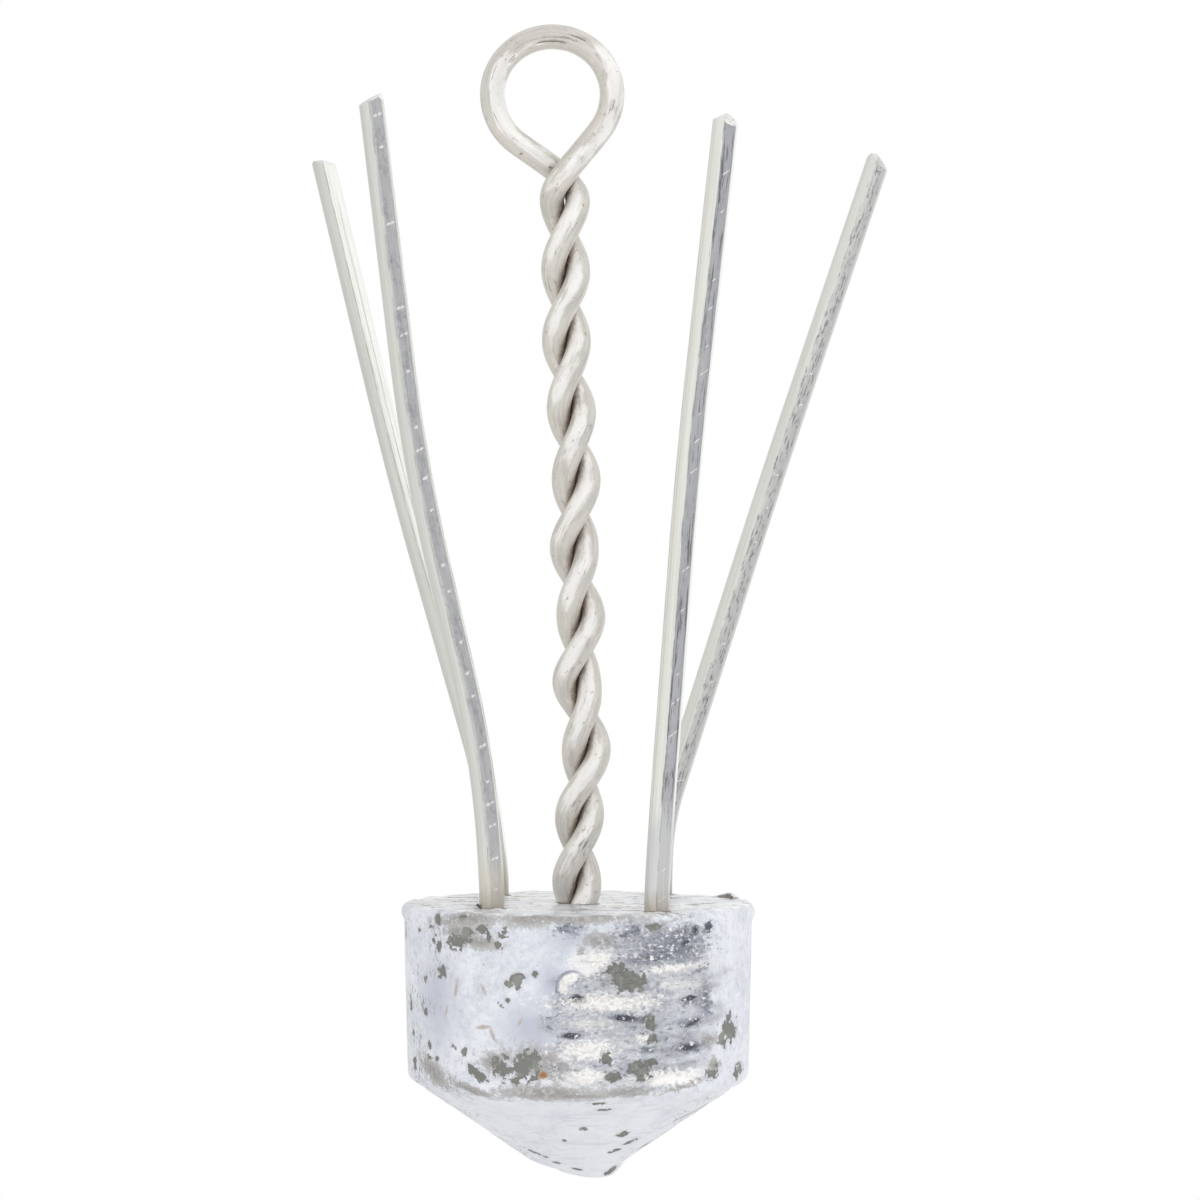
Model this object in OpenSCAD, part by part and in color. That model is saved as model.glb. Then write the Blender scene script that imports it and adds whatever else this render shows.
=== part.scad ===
// Grip sinker: a cast lead weight with a twisted wire stem and line eye, and four
// straight wire claws that the angler bends outwards by hand at the lead.
// The frame's origin is the centre of the line eye, and +Z points up along the stem.

/* [Wire] */
// Gauge of the steel wire that the eye and the four claws are cut from
wire_d = 2; // [1.4:0.1:2.4]
// Slant of the side cutter's cut across the end of each claw, in degrees
tip_cut = 22; // [0:1:40]
// Running clearance under each claw's root, where the wire bends at the lead
hinge_gap = 0.05; // [0.02:0.01:0.1]

/* [Lead body] */
// Diameter of the body just under its rim
body_d = 28.2; // [24:0.1:34]
// Height of the body from the pouring face down to the shoulder
body_h = 14; // [12:0.5:24]
// How much smaller the radius is at the shoulder, so that the casting leaves its mould
draft = 0.3; // [0:0.05:1]
// How far the thin lip of the pouring face stands out past the body
lip_out = 0.25; // [0.05:0.05:0.6]
// Height of the cone nose below the shoulder
nose_h = 8.1; // [4:0.1:16]
// Radius of the blunt tip of the nose
tip_r = 2; // [1:0.1:5]
// Rounding of the rim of the pouring face
rim_round = 0.7; // [0.2:0.1:1.2]
// Rounding of the shoulder
shoulder_round = 0.8; // [0.2:0.1:3]
// Rounding of the blunt tip
tip_round = 0.9; // [0.2:0.1:1]

/* [Line eye] */
// Width of the opening in the eye
eye_inner_d = 7.75; // [5:0.25:12]
// Distance from the bottom of the eye's circle down to where the wire's two limbs cross
eye_neck = 1.8; // [0.8:0.05:4]
// Sideways distance of the eye's centre from the body's axis
eye_offset = 2.1; // [0:0.1:4]

/* [Twisted stem] */
// Height of the crossing of the two limbs above the pouring face
stem_h = 59.05; // [30:0.05:80]
// Turns of the twist between the crossing and the pouring face
stem_turns = 5.32; // [2:0.01:6]
// Clearance between the two strands of the twist
strand_gap = 0.1; // [0.06:0.01:0.4]
// Unevenness of the hand-made twist, in degrees at its middle
twist_drift = 22; // [0:1:30]
// How much further the strands turn just under the crossing, in degrees
twist_start = 30; // [0:1:45]
// Length of stem in which they do so
twist_start_l = 2; // [1:0.5:6]
// Sideways lean of the stem's top from the body's axis
stem_lean = 1.25; // [0:0.05:3]
// Sideways bow of the middle of the stem, against its lean
stem_bow = 0.5; // [0:0.05:2]
// Depth that the eye wire's two tails reach into the lead
tail_depth = 13; // [8:0.5:16]
// Radius that the tails spread to, so that the lead holds them
tail_spread = 3.2; // [1.5:0.1:3.6]

/* [Claw ends in the lead] */
// Depth of each claw wire in the lead, down to the middle of its bent foot
anchor_depth = 11; // [7:0.5:12]
// Straight length of the foot, past its bend
foot_l = 1.5; // [0.5:0.1:2]

/* [Front left claw] */
// Angle of the root around the body, from +X
front_left_place = -134; // [-150:1:-110]
// Distance of the root in from the body's edge
front_left_inset = 4.3; // [2:0.1:5]
// Compass direction that the claw leans in, from +X
front_left_heading = -155; // [-170:1:-100]
// Lean of the wire where it leaves the lead, in degrees
front_left_lean = 2.9; // [0:0.1:8]
// Outward bend of its lower part, in degrees
front_left_bend = 11.1; // [1:0.1:25]
// Length of that lower bend
front_left_bend_l = 15.5; // [4:0.5:25]
// Bend of its middle part, negative where it straightens up again, in degrees
front_left_ease = -6.6; // [-10:0.1:10]
// Length of the wire above the lead
front_left_l = 64.8; // [45:0.1:90]

/* [Front right claw] */
// Angle of the root around the body, from +X
front_right_place = -58.5; // [-75:0.5:-35]
// Distance of the root in from the body's edge
front_right_inset = 2.1; // [2:0.1:5]
// Compass direction that the claw leans in, from +X
front_right_heading = -54; // [-80:1:-10]
// Lean of the wire where it leaves the lead, in degrees
front_right_lean = 5.2; // [0:0.1:8]
// Outward bend of its lower part, in degrees
front_right_bend = 1.9; // [1:0.1:25]
// Length of that lower bend
front_right_bend_l = 7; // [4:0.5:25]
// Bend of its middle part, negative where it straightens up again, in degrees
front_right_ease = 3.2; // [-10:0.1:10]
// Length of the wire above the lead
front_right_l = 62.4; // [45:0.1:90]

/* [Back left claw] */
// Angle of the root around the body, from +X
back_left_place = 132.5; // [110:0.5:150]
// Distance of the root in from the body's edge
back_left_inset = 4.05; // [2:0.05:5]
// Compass direction that the claw leans in, from +X
back_left_heading = 150; // [100:1:170]
// Lean of the wire where it leaves the lead, in degrees
back_left_lean = 5.4; // [0:0.1:8]
// Outward bend of its lower part, in degrees
back_left_bend = 13.3; // [1:0.1:25]
// Length of that lower bend
back_left_bend_l = 10.5; // [4:0.5:25]
// Bend of its middle part, negative where it straightens up again, in degrees
back_left_ease = -2.9; // [-10:0.1:10]
// Length of the wire above the lead
back_left_l = 64.7; // [45:0.1:90]

/* [Back right claw] */
// Angle of the root around the body, from +X
back_right_place = 51.5; // [35:0.5:75]
// Distance of the root in from the body's edge
back_right_inset = 3.15; // [2:0.05:5]
// Compass direction that the claw leans in, from +X
back_right_heading = 26; // [10:1:80]
// Lean of the wire where it leaves the lead, in degrees
back_right_lean = 1.9; // [0:0.1:8]
// Outward bend of its lower part, in degrees
back_right_bend = 17.9; // [1:0.1:25]
// Length of that lower bend
back_right_bend_l = 6; // [4:0.5:25]
// Bend of its middle part, negative where it straightens up again, in degrees
back_right_ease = 1; // [-10:0.1:10]
// Length of the wire above the lead
back_right_l = 66.2; // [45:0.1:90]

/* [Hidden] */

// Derived sizes of the wire and the body
wire_r = wire_d / 2;
body_r = body_d / 2;
shoulder_r = body_r - draft;
lip_r = body_r + lip_out;

// How far a cut runs past the face that it opens
overrun = 0.5;

// Derived sizes of the eye, around its centre
loop_r = (eye_inner_d + wire_d) / 2;
eye_drop = loop_r + eye_neck;
eye_height = stem_h + eye_drop;

// The strands wind at this distance from the stem's own line
strand_r = wire_r + strand_gap / 2;

// Height of each claw's pivot above the pouring face: its round root just clears the lead
pivot_h = wire_r + hinge_gap;

// Where the middle bend of a claw begins, and how long it is, as shares of the claw's length
ease_start_share = 0.42;
ease_length_share = 0.25;

// Straight length of a claw at its root, and how much thinner the bent wire above starts inside it
root_l = wire_d;
root_step = 0.01;

// Reach of a limb's handles, at the twist and at the loop, as shares of the way between them
limb_low_share = 0.2;
limb_high_share = 0.4;

// A claw's lean is taken in the middle of each step along it
middle_share = 0.5;

// Facets of round solids, sides of the swept wire, and rings along it
round_fn = 64;
wire_sides = 12;
rings_a_turn = 14;
loop_rings = 36;
limb_rings = 8;
claw_rings = 26;
corner_steps = 6;

// Each claw: place, inset, heading, lean at the root, lower bend and its length, middle bend, length
front_left = [
    front_left_place, front_left_inset, front_left_heading, front_left_lean,
    front_left_bend, front_left_bend_l, front_left_ease, front_left_l
];
front_right = [
    front_right_place, front_right_inset, front_right_heading, front_right_lean,
    front_right_bend, front_right_bend_l, front_right_ease, front_right_l
];
back_left = [
    back_left_place, back_left_inset, back_left_heading, back_left_lean,
    back_left_bend, back_left_bend_l, back_left_ease, back_left_l
];
back_right = [
    back_right_place, back_right_inset, back_right_heading, back_right_lean,
    back_right_bend, back_right_bend_l, back_right_ease, back_right_l
];

function unit(v) = v / norm(v);

// Points of a rounded corner at b, between the straight lines to a and to c
function corner(a, b, c, r) = let (
    u = unit(a - b),
    v = unit(c - b),
    half = acos(u * v) / 2,
    centre = b + unit(u + v) * r / sin(half),
    first = b + u * r / tan(half) - centre,
    last = b + v * r / tan(half) - centre,
    from = atan2(first[1], first[0]),
    turn = atan2(first[0] * last[1] - first[1] * last[0], first * last)
) [for (i = [0:corner_steps]) let (way = from + turn * i / corner_steps) centre + r * [cos(way), sin(way)]];

// Half section of the lead body, with the pouring face at height 0
function lead_outline() = let (
    lip_low = [body_r, -2 * rim_round - lip_out],
    lip_out_low = [lip_r, -2 * rim_round],
    rim = [lip_r, 0],
    shoulder = [shoulder_r, -body_h],
    tip = [tip_r, -body_h - nose_h]
) concat(
    [[0, 0]],
    corner([0, 0], rim, lip_out_low, rim_round),
    [lip_low],
    corner(lip_low, shoulder, tip, shoulder_round),
    corner(shoulder, tip, [0, tip[1]], tip_round),
    [[0, tip[1]]]
);

// Centre of the stem at depth s below the crossing
function stem_centre(s) = let (t = min(1, 1 - s / stem_h))
    [-stem_lean * (1 - cos(180 * max(0, t))) / 2 + stem_bow * sin(180 * max(0, t)), 0, stem_h - s];

// Distance of a strand from the stem's line: the tails spread below the pouring face
function strand_out(s) = let (t = max(0, (s - stem_h) / tail_depth))
    strand_r + (tail_spread - strand_r) * t * t;

// How much of a length that begins at start lies before s, from 0 to 1
function share_of(s, start, length) = max(0, min(1, (s - start) / length));

// Angle that the twist has turned through at depth s
function twist_at(s) = let (t = s / stem_h)
    360 * stem_turns * t + twist_start * share_of(s, 0, twist_start_l) - twist_drift * sin(180 * t);

// A strand at depth s: it winds up the stem to the right, and side is 0 in front or 180 behind
function strand(s, side) = let (way = side - 90 - twist_at(s))
    stem_centre(s) + strand_out(s) * [cos(way), sin(way), 0];

// One strand from its tail up to the crossing
strand_rings = ceil(rings_a_turn * stem_turns * (stem_h + tail_depth) / stem_h);
strand_step = (stem_h + tail_depth) / strand_rings;
function strand_line(side) = [for (i = [strand_rings:-1:0]) strand(strand_step * i, side)];

// The eye's circle
eye_centre = [-eye_offset, 0, eye_height];
function on_loop(way) = eye_centre + loop_r * [cos(way), 0, sin(way)];

// A limb: a smooth curve from p along u to q, arriving along v, with the reach of its two handles
function limb(p, u, first_share, q, v, last_share) = let (
    a = p + first_share * norm(q - p) * u,
    b = q - last_share * norm(q - p) * v
) [for (i = [1:limb_rings - 1]) let (t = i / limb_rings, k = 1 - t)
    k * k * k * p + 3 * k * k * t * a + 3 * k * t * t * b + t * t * t * q];

// The whole eye wire, from one tail over the loop to the other
function eye_line() = let (
    right = strand_line(0),
    left = strand_line(180),
    below = stem_centre(0) - eye_centre,
    aim = atan2(below[2], below[0]),
    spread = acos(loop_r / norm(below)),
    first = aim + spread,
    last = aim - spread + 360,
    count = len(right),
    rise = unit(right[count - 1] - right[count - 2]),
    fall = unit(left[count - 2] - left[count - 1]),
    off = [-sin(first), 0, cos(first)],
    on = [-sin(last), 0, cos(last)]
) concat(
    right,
    limb(right[count - 1], rise, limb_low_share, on_loop(first), off, limb_high_share),
    [for (i = [0:loop_rings]) on_loop(first + (last - first) * i / loop_rings)],
    limb(on_loop(last), on, limb_high_share, left[count - 1], fall, limb_low_share),
    [for (i = [count - 1:-1:0]) left[i]]
);

// Least clearance between the two strands, on their own points
function least_gap() = let (a = strand_line(0), b = strand_line(180))
    min([for (p = a) min([for (q = b) norm(p - q)])]) - wire_d;
echo(str("Least gap between the strands of the stem, mm: ", least_gap()));

// Lean of a claw's wire at length s from its pivot, in degrees
function lean_at(claw, s) = let (ease_start = ease_start_share * claw[7])
    claw[3] + claw[4] * share_of(s, root_l, claw[5])
    + claw[6] * share_of(s, ease_start, ease_length_share * claw[7]);

// The line of a claw from the middle of its straight root to past its cut end, in its own plane
function claw_line(claw) = let (
    start = root_l / 2,
    step = (claw[7] - pivot_h + wire_r - start) / claw_rings
) [for (
    i = 0, p = start * [sin(claw[3]), 0, cos(claw[3])];
    i <= claw_rings;
    lean = lean_at(claw, start + step * (i + middle_share)),
    p = p + step * [sin(lean), 0, cos(lean)],
    i = i + 1
) p];

// A round wire of radius r swept along a line of points
module swept_wire(line, r) {
    last = len(line) - 1;
    rings = [for (i = [0:last]) let (
        along = unit(line[min(i + 1, last)] - line[max(i - 1, 0)]),
        u = unit(cross(along, [0, 1, 0])),
        v = cross(along, u)
    ) [for (j = [0:wire_sides - 1]) let (way = 360 * j / wire_sides)
        line[i] + r * (cos(way) * u + sin(way) * v)]];
    walls = [for (i = [0:last - 1]) for (j = [0:wire_sides - 1]) let (
        a = i * wire_sides + j,
        b = i * wire_sides + (j + 1) % wire_sides
    ) each [[a, b + wire_sides, b], [a, a + wire_sides, b + wire_sides]]];
    first_cap = [for (j = [0:wire_sides - 1]) j];
    last_cap = [for (j = [wire_sides - 1:-1:0]) last * wire_sides + j];
    polyhedron(points = [for (ring = rings) each ring], faces = concat(walls, [first_cap, last_cap]));
}

// Puts a claw's root at its place on the pouring face, turned to the given direction
module at_root(claw, way) {
    translate((body_r - claw[1]) * [cos(claw[0]), sin(claw[0]), 0])
        rotate([0, 0, way])
            children();
}

// The end of a claw that is cast in: a shank straight down from the pouring face, and a foot
// turned in towards the body's axis. A cut starts above the face by the given height.
module anchor(claw, above = 0) {
    shank_l = anchor_depth - wire_d;
    at_root(claw, claw[0]) {
        translate([0, 0, -shank_l])
            cylinder(r = wire_r, h = shank_l + above, $fn = round_fn);
        translate([-wire_d, 0, -shank_l])
            rotate([90, 90, 0])
                rotate_extrude(angle = 90, $fn = 4 * round_fn)
                    translate([wire_d, 0])
                        circle(r = wire_r, $fn = round_fn);
        translate([-wire_d, 0, -anchor_depth])
            rotate([0, -90, 0])
                cylinder(r = wire_r, h = foot_l, $fn = round_fn);
    }
}

// The round root that a claw turns on: half a ball under its short straight stretch
module claw_root() {
    rotate_extrude($fn = round_fn) {
        square([wire_r, root_l]);
        intersection() {
            circle(r = wire_r, $fn = round_fn);
            translate([0, -wire_r])
                square(wire_r);
        }
    }
}

// The free length of a claw, from its pivot just above the lead to its slanted cut end
module claw_wire(claw) {
    line = claw_line(claw);
    last = len(line) - 1;
    end = line[last] - wire_r * unit(line[last] - line[last - 1]);
    at_root(claw, claw[2])
        translate([0, 0, pivot_h])
            difference() {
                union() {
                    rotate([0, claw[3], 0])
                        claw_root();
                    swept_wire(line, wire_r - root_step);
                }
                translate(end)
                    rotate([0, lean_at(claw, claw[7]) - tip_cut, 0])
                        cylinder(r = 2 * wire_d, h = 2 * wire_d, $fn = round_fn);
            }
}

// Stands the sinker under its eye, whose centre is the origin
module hung() {
    translate(-eye_centre)
        children();
}

module lead_body() {
    color([0.86, 0.88, 0.91])
        hung()
            difference() {
                rotate_extrude($fn = 2 * round_fn)
                    polygon(lead_outline());
                for (claw = [front_left, front_right, back_left, back_right])
                    anchor(claw, overrun);
            }
}

module eye_wire() {
    color([0.83, 0.82, 0.8])
        hung()
            swept_wire(eye_line(), wire_r);
}

module claw_anchor(claw) {
    color([0.76, 0.76, 0.77])
        hung()
            anchor(claw);
}

module claw(claw) {
    color([0.8, 0.8, 0.81])
        hung()
            claw_wire(claw);
}

lead_body();
eye_wire();
claw_anchor(front_left);  // front_left_anchor
claw_anchor(front_right);  // front_right_anchor
claw_anchor(back_left);  // back_left_anchor
claw_anchor(back_right);  // back_right_anchor
claw(front_left);  // front_left_claw
claw(front_right);  // front_right_claw
claw(back_left);  // back_left_claw
claw(back_right);  // back_right_claw
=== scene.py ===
"""The looks of a grip sinker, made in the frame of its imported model.

Shapes are worked out in millimetres in that frame, with the line eye's centre at zero, and each
finished mesh is turned into metres. The camera looks along +Y, so -Y is the object's front.
"""
import bisect
import math
import random

import bmesh
import bpy
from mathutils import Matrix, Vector, noise
from mathutils.kdtree import KDTree
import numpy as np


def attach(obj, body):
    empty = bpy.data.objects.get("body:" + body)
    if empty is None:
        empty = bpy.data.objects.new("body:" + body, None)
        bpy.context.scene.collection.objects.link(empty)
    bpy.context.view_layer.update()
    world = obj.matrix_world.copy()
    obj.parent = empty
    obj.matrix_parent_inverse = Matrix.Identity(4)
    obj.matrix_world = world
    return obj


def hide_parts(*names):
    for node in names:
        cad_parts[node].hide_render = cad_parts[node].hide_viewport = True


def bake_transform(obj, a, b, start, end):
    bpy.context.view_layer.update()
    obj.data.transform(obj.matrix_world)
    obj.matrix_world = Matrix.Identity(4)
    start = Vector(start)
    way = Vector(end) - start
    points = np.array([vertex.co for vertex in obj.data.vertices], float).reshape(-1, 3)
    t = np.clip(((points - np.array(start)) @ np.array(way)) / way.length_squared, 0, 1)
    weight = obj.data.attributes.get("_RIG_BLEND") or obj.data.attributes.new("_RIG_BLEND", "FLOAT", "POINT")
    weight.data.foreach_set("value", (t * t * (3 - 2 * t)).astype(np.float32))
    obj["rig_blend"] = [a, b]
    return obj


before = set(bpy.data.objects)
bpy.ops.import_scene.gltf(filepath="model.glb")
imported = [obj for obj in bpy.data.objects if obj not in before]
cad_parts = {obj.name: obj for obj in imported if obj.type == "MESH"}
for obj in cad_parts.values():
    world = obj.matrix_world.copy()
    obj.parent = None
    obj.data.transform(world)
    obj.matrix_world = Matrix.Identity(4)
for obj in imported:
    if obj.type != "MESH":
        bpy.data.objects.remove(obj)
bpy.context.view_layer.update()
MM = 0.001
UP = Vector((0.0, 0.0, 1.0))

# Wires: the model's own sizes
WIRE_D = 2.0
WIRE_R = WIRE_D / 2
EYE_R = 4.875
EYE_DROP = 65.725
EYE_OFFSET = 2.1
STEM_H = 59.05
STEM_TURNS = 5.32
STRAND_R = 1.05
TWIST_DRIFT = 22.0
TWIST_START = 30.0
TWIST_START_L = 2.0
STEM_LEAN = 1.25
STEM_BOW = 0.5
TAIL_DEPTH = 13.0
TAIL_SPREAD = 3.2
LIMB_LOW_SHARE = 0.2
LIMB_HIGH_SHARE = 0.4
ANCHOR_DEPTH = 11.0
FOOT_L = 1.5
FOOT_BEND = range(15, 91, 15)
PIVOT_H = 1.05

# Lead: the model's own sizes
BODY_R = 14.1
BODY_H = 14.0
SHOULDER_R = 13.8
LIP_R = 14.35
LIP_H = 1.4
LIP_FADE = 1.65
NOSE_DEPTH = 22.1
TIP_R = 2.0
RIM_ROUND = 0.7
SHOULDER_ROUND = 0.8
TIP_ROUND = 0.9

# Claws, as in the model: place and inset of the root on the pouring face, heading, lean at the root, bend,
# easing near the end and length, in degrees and millimetres
CLAWS = {
    "front_left": dict(
        place=-134, inset=4.3, heading=-155, lean=2.9, bend=11.1, bend_l=15.5, ease=-6.6, length=64.8
    ),
    "front_right": dict(
        place=-58.5, inset=2.1, heading=-54, lean=5.2, bend=1.9, bend_l=7, ease=3.2, length=62.4
    ),
    "back_left": dict(
        place=132.5, inset=4.05, heading=150, lean=5.4, bend=13.3, bend_l=10.5, ease=-2.9, length=64.7
    ),
    "back_right": dict(
        place=51.5, inset=3.15, heading=26, lean=1.9, bend=17.9, bend_l=6, ease=1, length=66.2
    ),
}
EASE_START_SHARE = 0.42
EASE_LENGTH_SHARE = 0.25

# The photograph's frame, in its pixels: its size, its scale on the body's axis, the axis, the pouring face
# and eye level
FRAME_PX = 1200
PX_PER_MM = 12.3
AXIS_PX = 578.0
FACE_PX = 902.5
EYE_LEVEL_PX = 612.0
CAMERA_AWAY = 325.2
SENSOR_MM = 36.0

AXIS = Vector((EYE_OFFSET, 0.0, 0.0))
FACE_Z = -EYE_DROP
FACE = AXIS + FACE_Z * UP
CAMERA_SIDE = (FRAME_PX / 2 - AXIS_PX) / PX_PER_MM
CAMERA_UP = (FACE_PX - EYE_LEVEL_PX) / PX_PER_MM


def clamp(value):
    """The value, kept between 0 and 1."""
    return min(1.0, max(0.0, value))


def ease(value, low, high):
    """0 at low and before it, 1 at high and past it, and a smooth step between. low may be the larger."""
    share = clamp((value - low) / (high - low))
    return share * share * (3.0 - 2.0 * share)


def hump(value, centre, half):
    """1 at centre, falling smoothly to 0 at half on either side."""
    return 1.0 - ease(abs(value - centre), 0.0, half)


def waves(place, height, across, up, seed=0.0):
    """Smooth noise up to that height either way, whose spots are about that many mm across and up."""
    return height * noise.noise(Vector((place.x / across + seed, place.y / across, place.z / up)))


def around(degrees, out, up=0.0):
    """The place in that direction from the axis, that far out and that high."""
    way = math.radians(degrees)
    return Vector((out * math.cos(way), out * math.sin(way), up))


def inside_oval(right, up, half_wide, half_high, tilt):
    """1 in the middle of an oval, 0 on its edge and below 0 outside it. Its tilt is in radians."""
    x = right * math.cos(tilt) + up * math.sin(tilt)
    z = up * math.cos(tilt) - right * math.sin(tilt)
    return 1.0 - math.hypot(x / half_wide, z / half_high)


def put_in_scene(name, data):
    """A new object of the scene."""
    made = bpy.data.objects.new(name, data)
    bpy.context.scene.collection.objects.link(made)
    return made


CLIP_METRES = (0.01, 10.0)


def make_camera():
    """The camera, at the place that the photograph's perspective gives."""
    data = bpy.data.cameras.new("photo_camera")
    data.sensor_width = SENSOR_MM
    data.lens = SENSOR_MM * CAMERA_AWAY * PX_PER_MM / FRAME_PX
    data.clip_start, data.clip_end = CLIP_METRES
    camera = put_in_scene("photo_camera", data)
    camera.location = MM * Vector((AXIS.x + CAMERA_SIDE, -CAMERA_AWAY, FACE_Z + CAMERA_UP))
    rise = (EYE_LEVEL_PX - FRAME_PX / 2) / PX_PER_MM
    camera.rotation_euler = (math.radians(90) + math.atan2(rise, CAMERA_AWAY), 0, 0)
    bpy.context.scene.camera = camera


# Shader helpers. A mix of colours has its own sockets among those of the mix node
SMOOTH = {"interpolation_type": "SMOOTHSTEP"}
MIX_A = 6
MIX_B = 7
MIX_COLOUR = 2


def linear(code, alpha=1.0):
    """An sRGB colour such as "DDE1EA" as the linear values that shaders take."""
    shares = [int(code[at : at + 2], 16) / 255 for at in (0, 2, 4)]
    return tuple(s / 12.92 if s <= 0.04045 else ((s + 0.055) / 1.055) ** 2.4 for s in shares) + (alpha,)


def add(tree, kind, inputs=(), operation=None, take=0, **settings):
    """Adds a node and gives one of its outputs. inputs, in order or by socket, are values or outputs."""
    made = tree.nodes.new("ShaderNode" + kind)
    if operation:
        made.operation = operation
    for name, value in settings.items():
        setattr(made, name, value)
    for name, value in inputs.items() if isinstance(inputs, dict) else enumerate(inputs):
        if isinstance(value, bpy.types.NodeSocket):
            tree.links.new(value, made.inputs[name])
        else:
            made.inputs[name].default_value = value
    return made.outputs[take] if made.outputs else None


def new_material(name):
    """An empty material and its node tree."""
    material = bpy.data.materials.new(name)
    material.use_nodes = True
    material.node_tree.nodes.clear()
    return material, material.node_tree


def layered(tree, tone, masks, colours):
    """Lays colours over a tone, each where the mask of its name is 1."""
    for name, colour in colours.items():
        inputs = {0: masks[name], MIX_A: tone, MIX_B: linear(colour)}
        tone = add(tree, "Mix", inputs, take=MIX_COLOUR, data_type="RGBA")
    return tone


def noises_of(tree, place, table):
    """The noises of a table, which holds their scales, detail, roughness and how much they swirl."""
    found = {}
    for name, (scale, detail, roughness, swirl) in table.items():
        inputs = {"Scale": 1.0, "Detail": detail, "Roughness": roughness, "Distortion": swirl}
        inputs["Vector"] = add(tree, "Mapping", {"Vector": place, "Scale": scale})
        found[name] = add(tree, "TexNoise", inputs)
    return found


def fade_in(tree, masks, table, **settings):
    """Adds a table's masks: for each its source, the values it fades in between, its strength and limits."""
    for name, (source, low, high, most, *limits) in table.items():
        mask = add(tree, "MapRange", (masks[source], low, high, 0.0, most), **settings)
        for limit in limits:
            mask = add(tree, "Math", (mask, masks[limit]), "MULTIPLY")
        masks[name] = mask


def broken_up(tree, mark, grained, strength):
    """A mark whose edge is broken up by a noise."""
    edge = add(tree, "Math", (grained, strength, -strength / 2), "MULTIPLY_ADD")
    return add(tree, "Math", (mark, edge), "ADD")


def window(tree, value, edges, soft):
    """1 while a value is between two edges, fading to 0 over soft past them."""
    inside = 1.0
    for edge, side in zip(edges, (-soft, soft)):
        step = add(tree, "MapRange", (value, edge + side, edge))
        inside = add(tree, "Math", (inside, step), "MULTIPLY")
    return inside


def finish_material(tree, tone, rough, metal, height, strength, depth):
    """One shader of that tone, roughness and metal. The height dents it, up to a depth in metres."""
    dents = add(tree, "Bump", {"Strength": strength, "Distance": depth, "Height": height})
    inputs = {"Base Color": tone, "Roughness": rough, "Metallic": metal, "Normal": dents}
    add(tree, "OutputMaterial", (add(tree, "BsdfPrincipled", inputs),))


# Studio: a white tent. Only metal shows its two darker parts: a grey opening at the right of the camera
# and a slightly shaded back left. Angles are in degrees from the front, towards +X, and above the ground.
TENT_LIGHT = 0.8
TENT_WHITE = "FFFFFF"
TENT_PARTS = {"shaded": "EEEDEB", "gap": "B6B7BC"}
GAP_AZIMUTH = (-7.0, 114.0)
GAP_HEIGHT = (-18.0, 15.5)
GAP_EDGE = 4.0
GAP_HEIGHT_EDGE = 3.0
SHADED_AZIMUTH = (-45.0, -120.0)


def make_world():
    """White for the camera. Metal also shows the tent's shaded side and its grey opening."""
    world = bpy.data.worlds.new("light_tent")
    bpy.context.scene.world = world
    world.use_nodes = True
    tree = world.node_tree
    tree.nodes.clear()
    way = add(tree, "TexCoord", take="Generated")
    x, y, z = add(tree, "SeparateXYZ", (way,)).node.outputs
    front = add(tree, "Math", (y, -1.0), "MULTIPLY")
    azimuth = add(tree, "Math", (x, front), "ARCTAN2")
    height = add(tree, "Math", (z,), "ARCSINE")
    gap = 1.0
    for angle, limits, soft in ((azimuth, GAP_AZIMUTH, GAP_EDGE), (height, GAP_HEIGHT, GAP_HEIGHT_EDGE)):
        for edge, side in zip(limits, (soft, -soft)):
            ends = (math.radians(edge - side), math.radians(edge + side))
            opening = add(tree, "MapRange", (angle, *ends), **SMOOTH)
            gap = add(tree, "Math", (gap, opening), "MULTIPLY")
    ends = [math.radians(degrees) for degrees in SHADED_AZIMUTH]
    shaded = add(tree, "MapRange", (azimuth, *ends), **SMOOTH)
    tent = layered(tree, linear(TENT_WHITE), {"shaded": shaded, "gap": gap}, TENT_PARTS)
    metal = add(tree, "Background", (tent, 1.0))
    plain = add(tree, "Background", (linear(TENT_WHITE), 1.0))
    light = add(tree, "Background", (linear(TENT_WHITE), TENT_LIGHT))
    ray = add(tree, "LightPath").node.outputs
    straight = (ray["Is Camera Ray"], ray["Is Transmission Ray"])
    behind = add(tree, "Math", straight, "ADD", use_clamp=True)
    shown = add(tree, "MixShader", (behind, light, plain))
    both = add(tree, "MixShader", (ray["Is Glossy Ray"], shown, metal))
    add(tree, "OutputWorld", (both,))


KEY_PLACE = Vector((170.0, -400.0, 230.0))
KEY_SIZE = 320.0
KEY_WATTS = 0.6
OBJECT_MIDDLE = Vector((4.0, 0.0, -41.0))


def make_key_light():
    """One broad lamp at the upper right of the camera, behind diffusing cloth."""
    data = bpy.data.lights.new("key_light", "AREA")
    data.shape = "SQUARE"
    data.size = KEY_SIZE * MM
    data.energy = KEY_WATTS
    light = put_in_scene("key_light", data)
    light.location = MM * KEY_PLACE
    light.rotation_euler = (OBJECT_MIDDLE - KEY_PLACE).to_track_quat("-Z", "Y").to_euler()
    light.visible_glossy = False


FLOOR_GAP = 27.0
FLOOR_HALF = 2500.0
FLOOR_COLOUR = "FAFAFA"
FLOOR_FADE = (70.0 * MM, 160.0 * MM)


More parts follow.
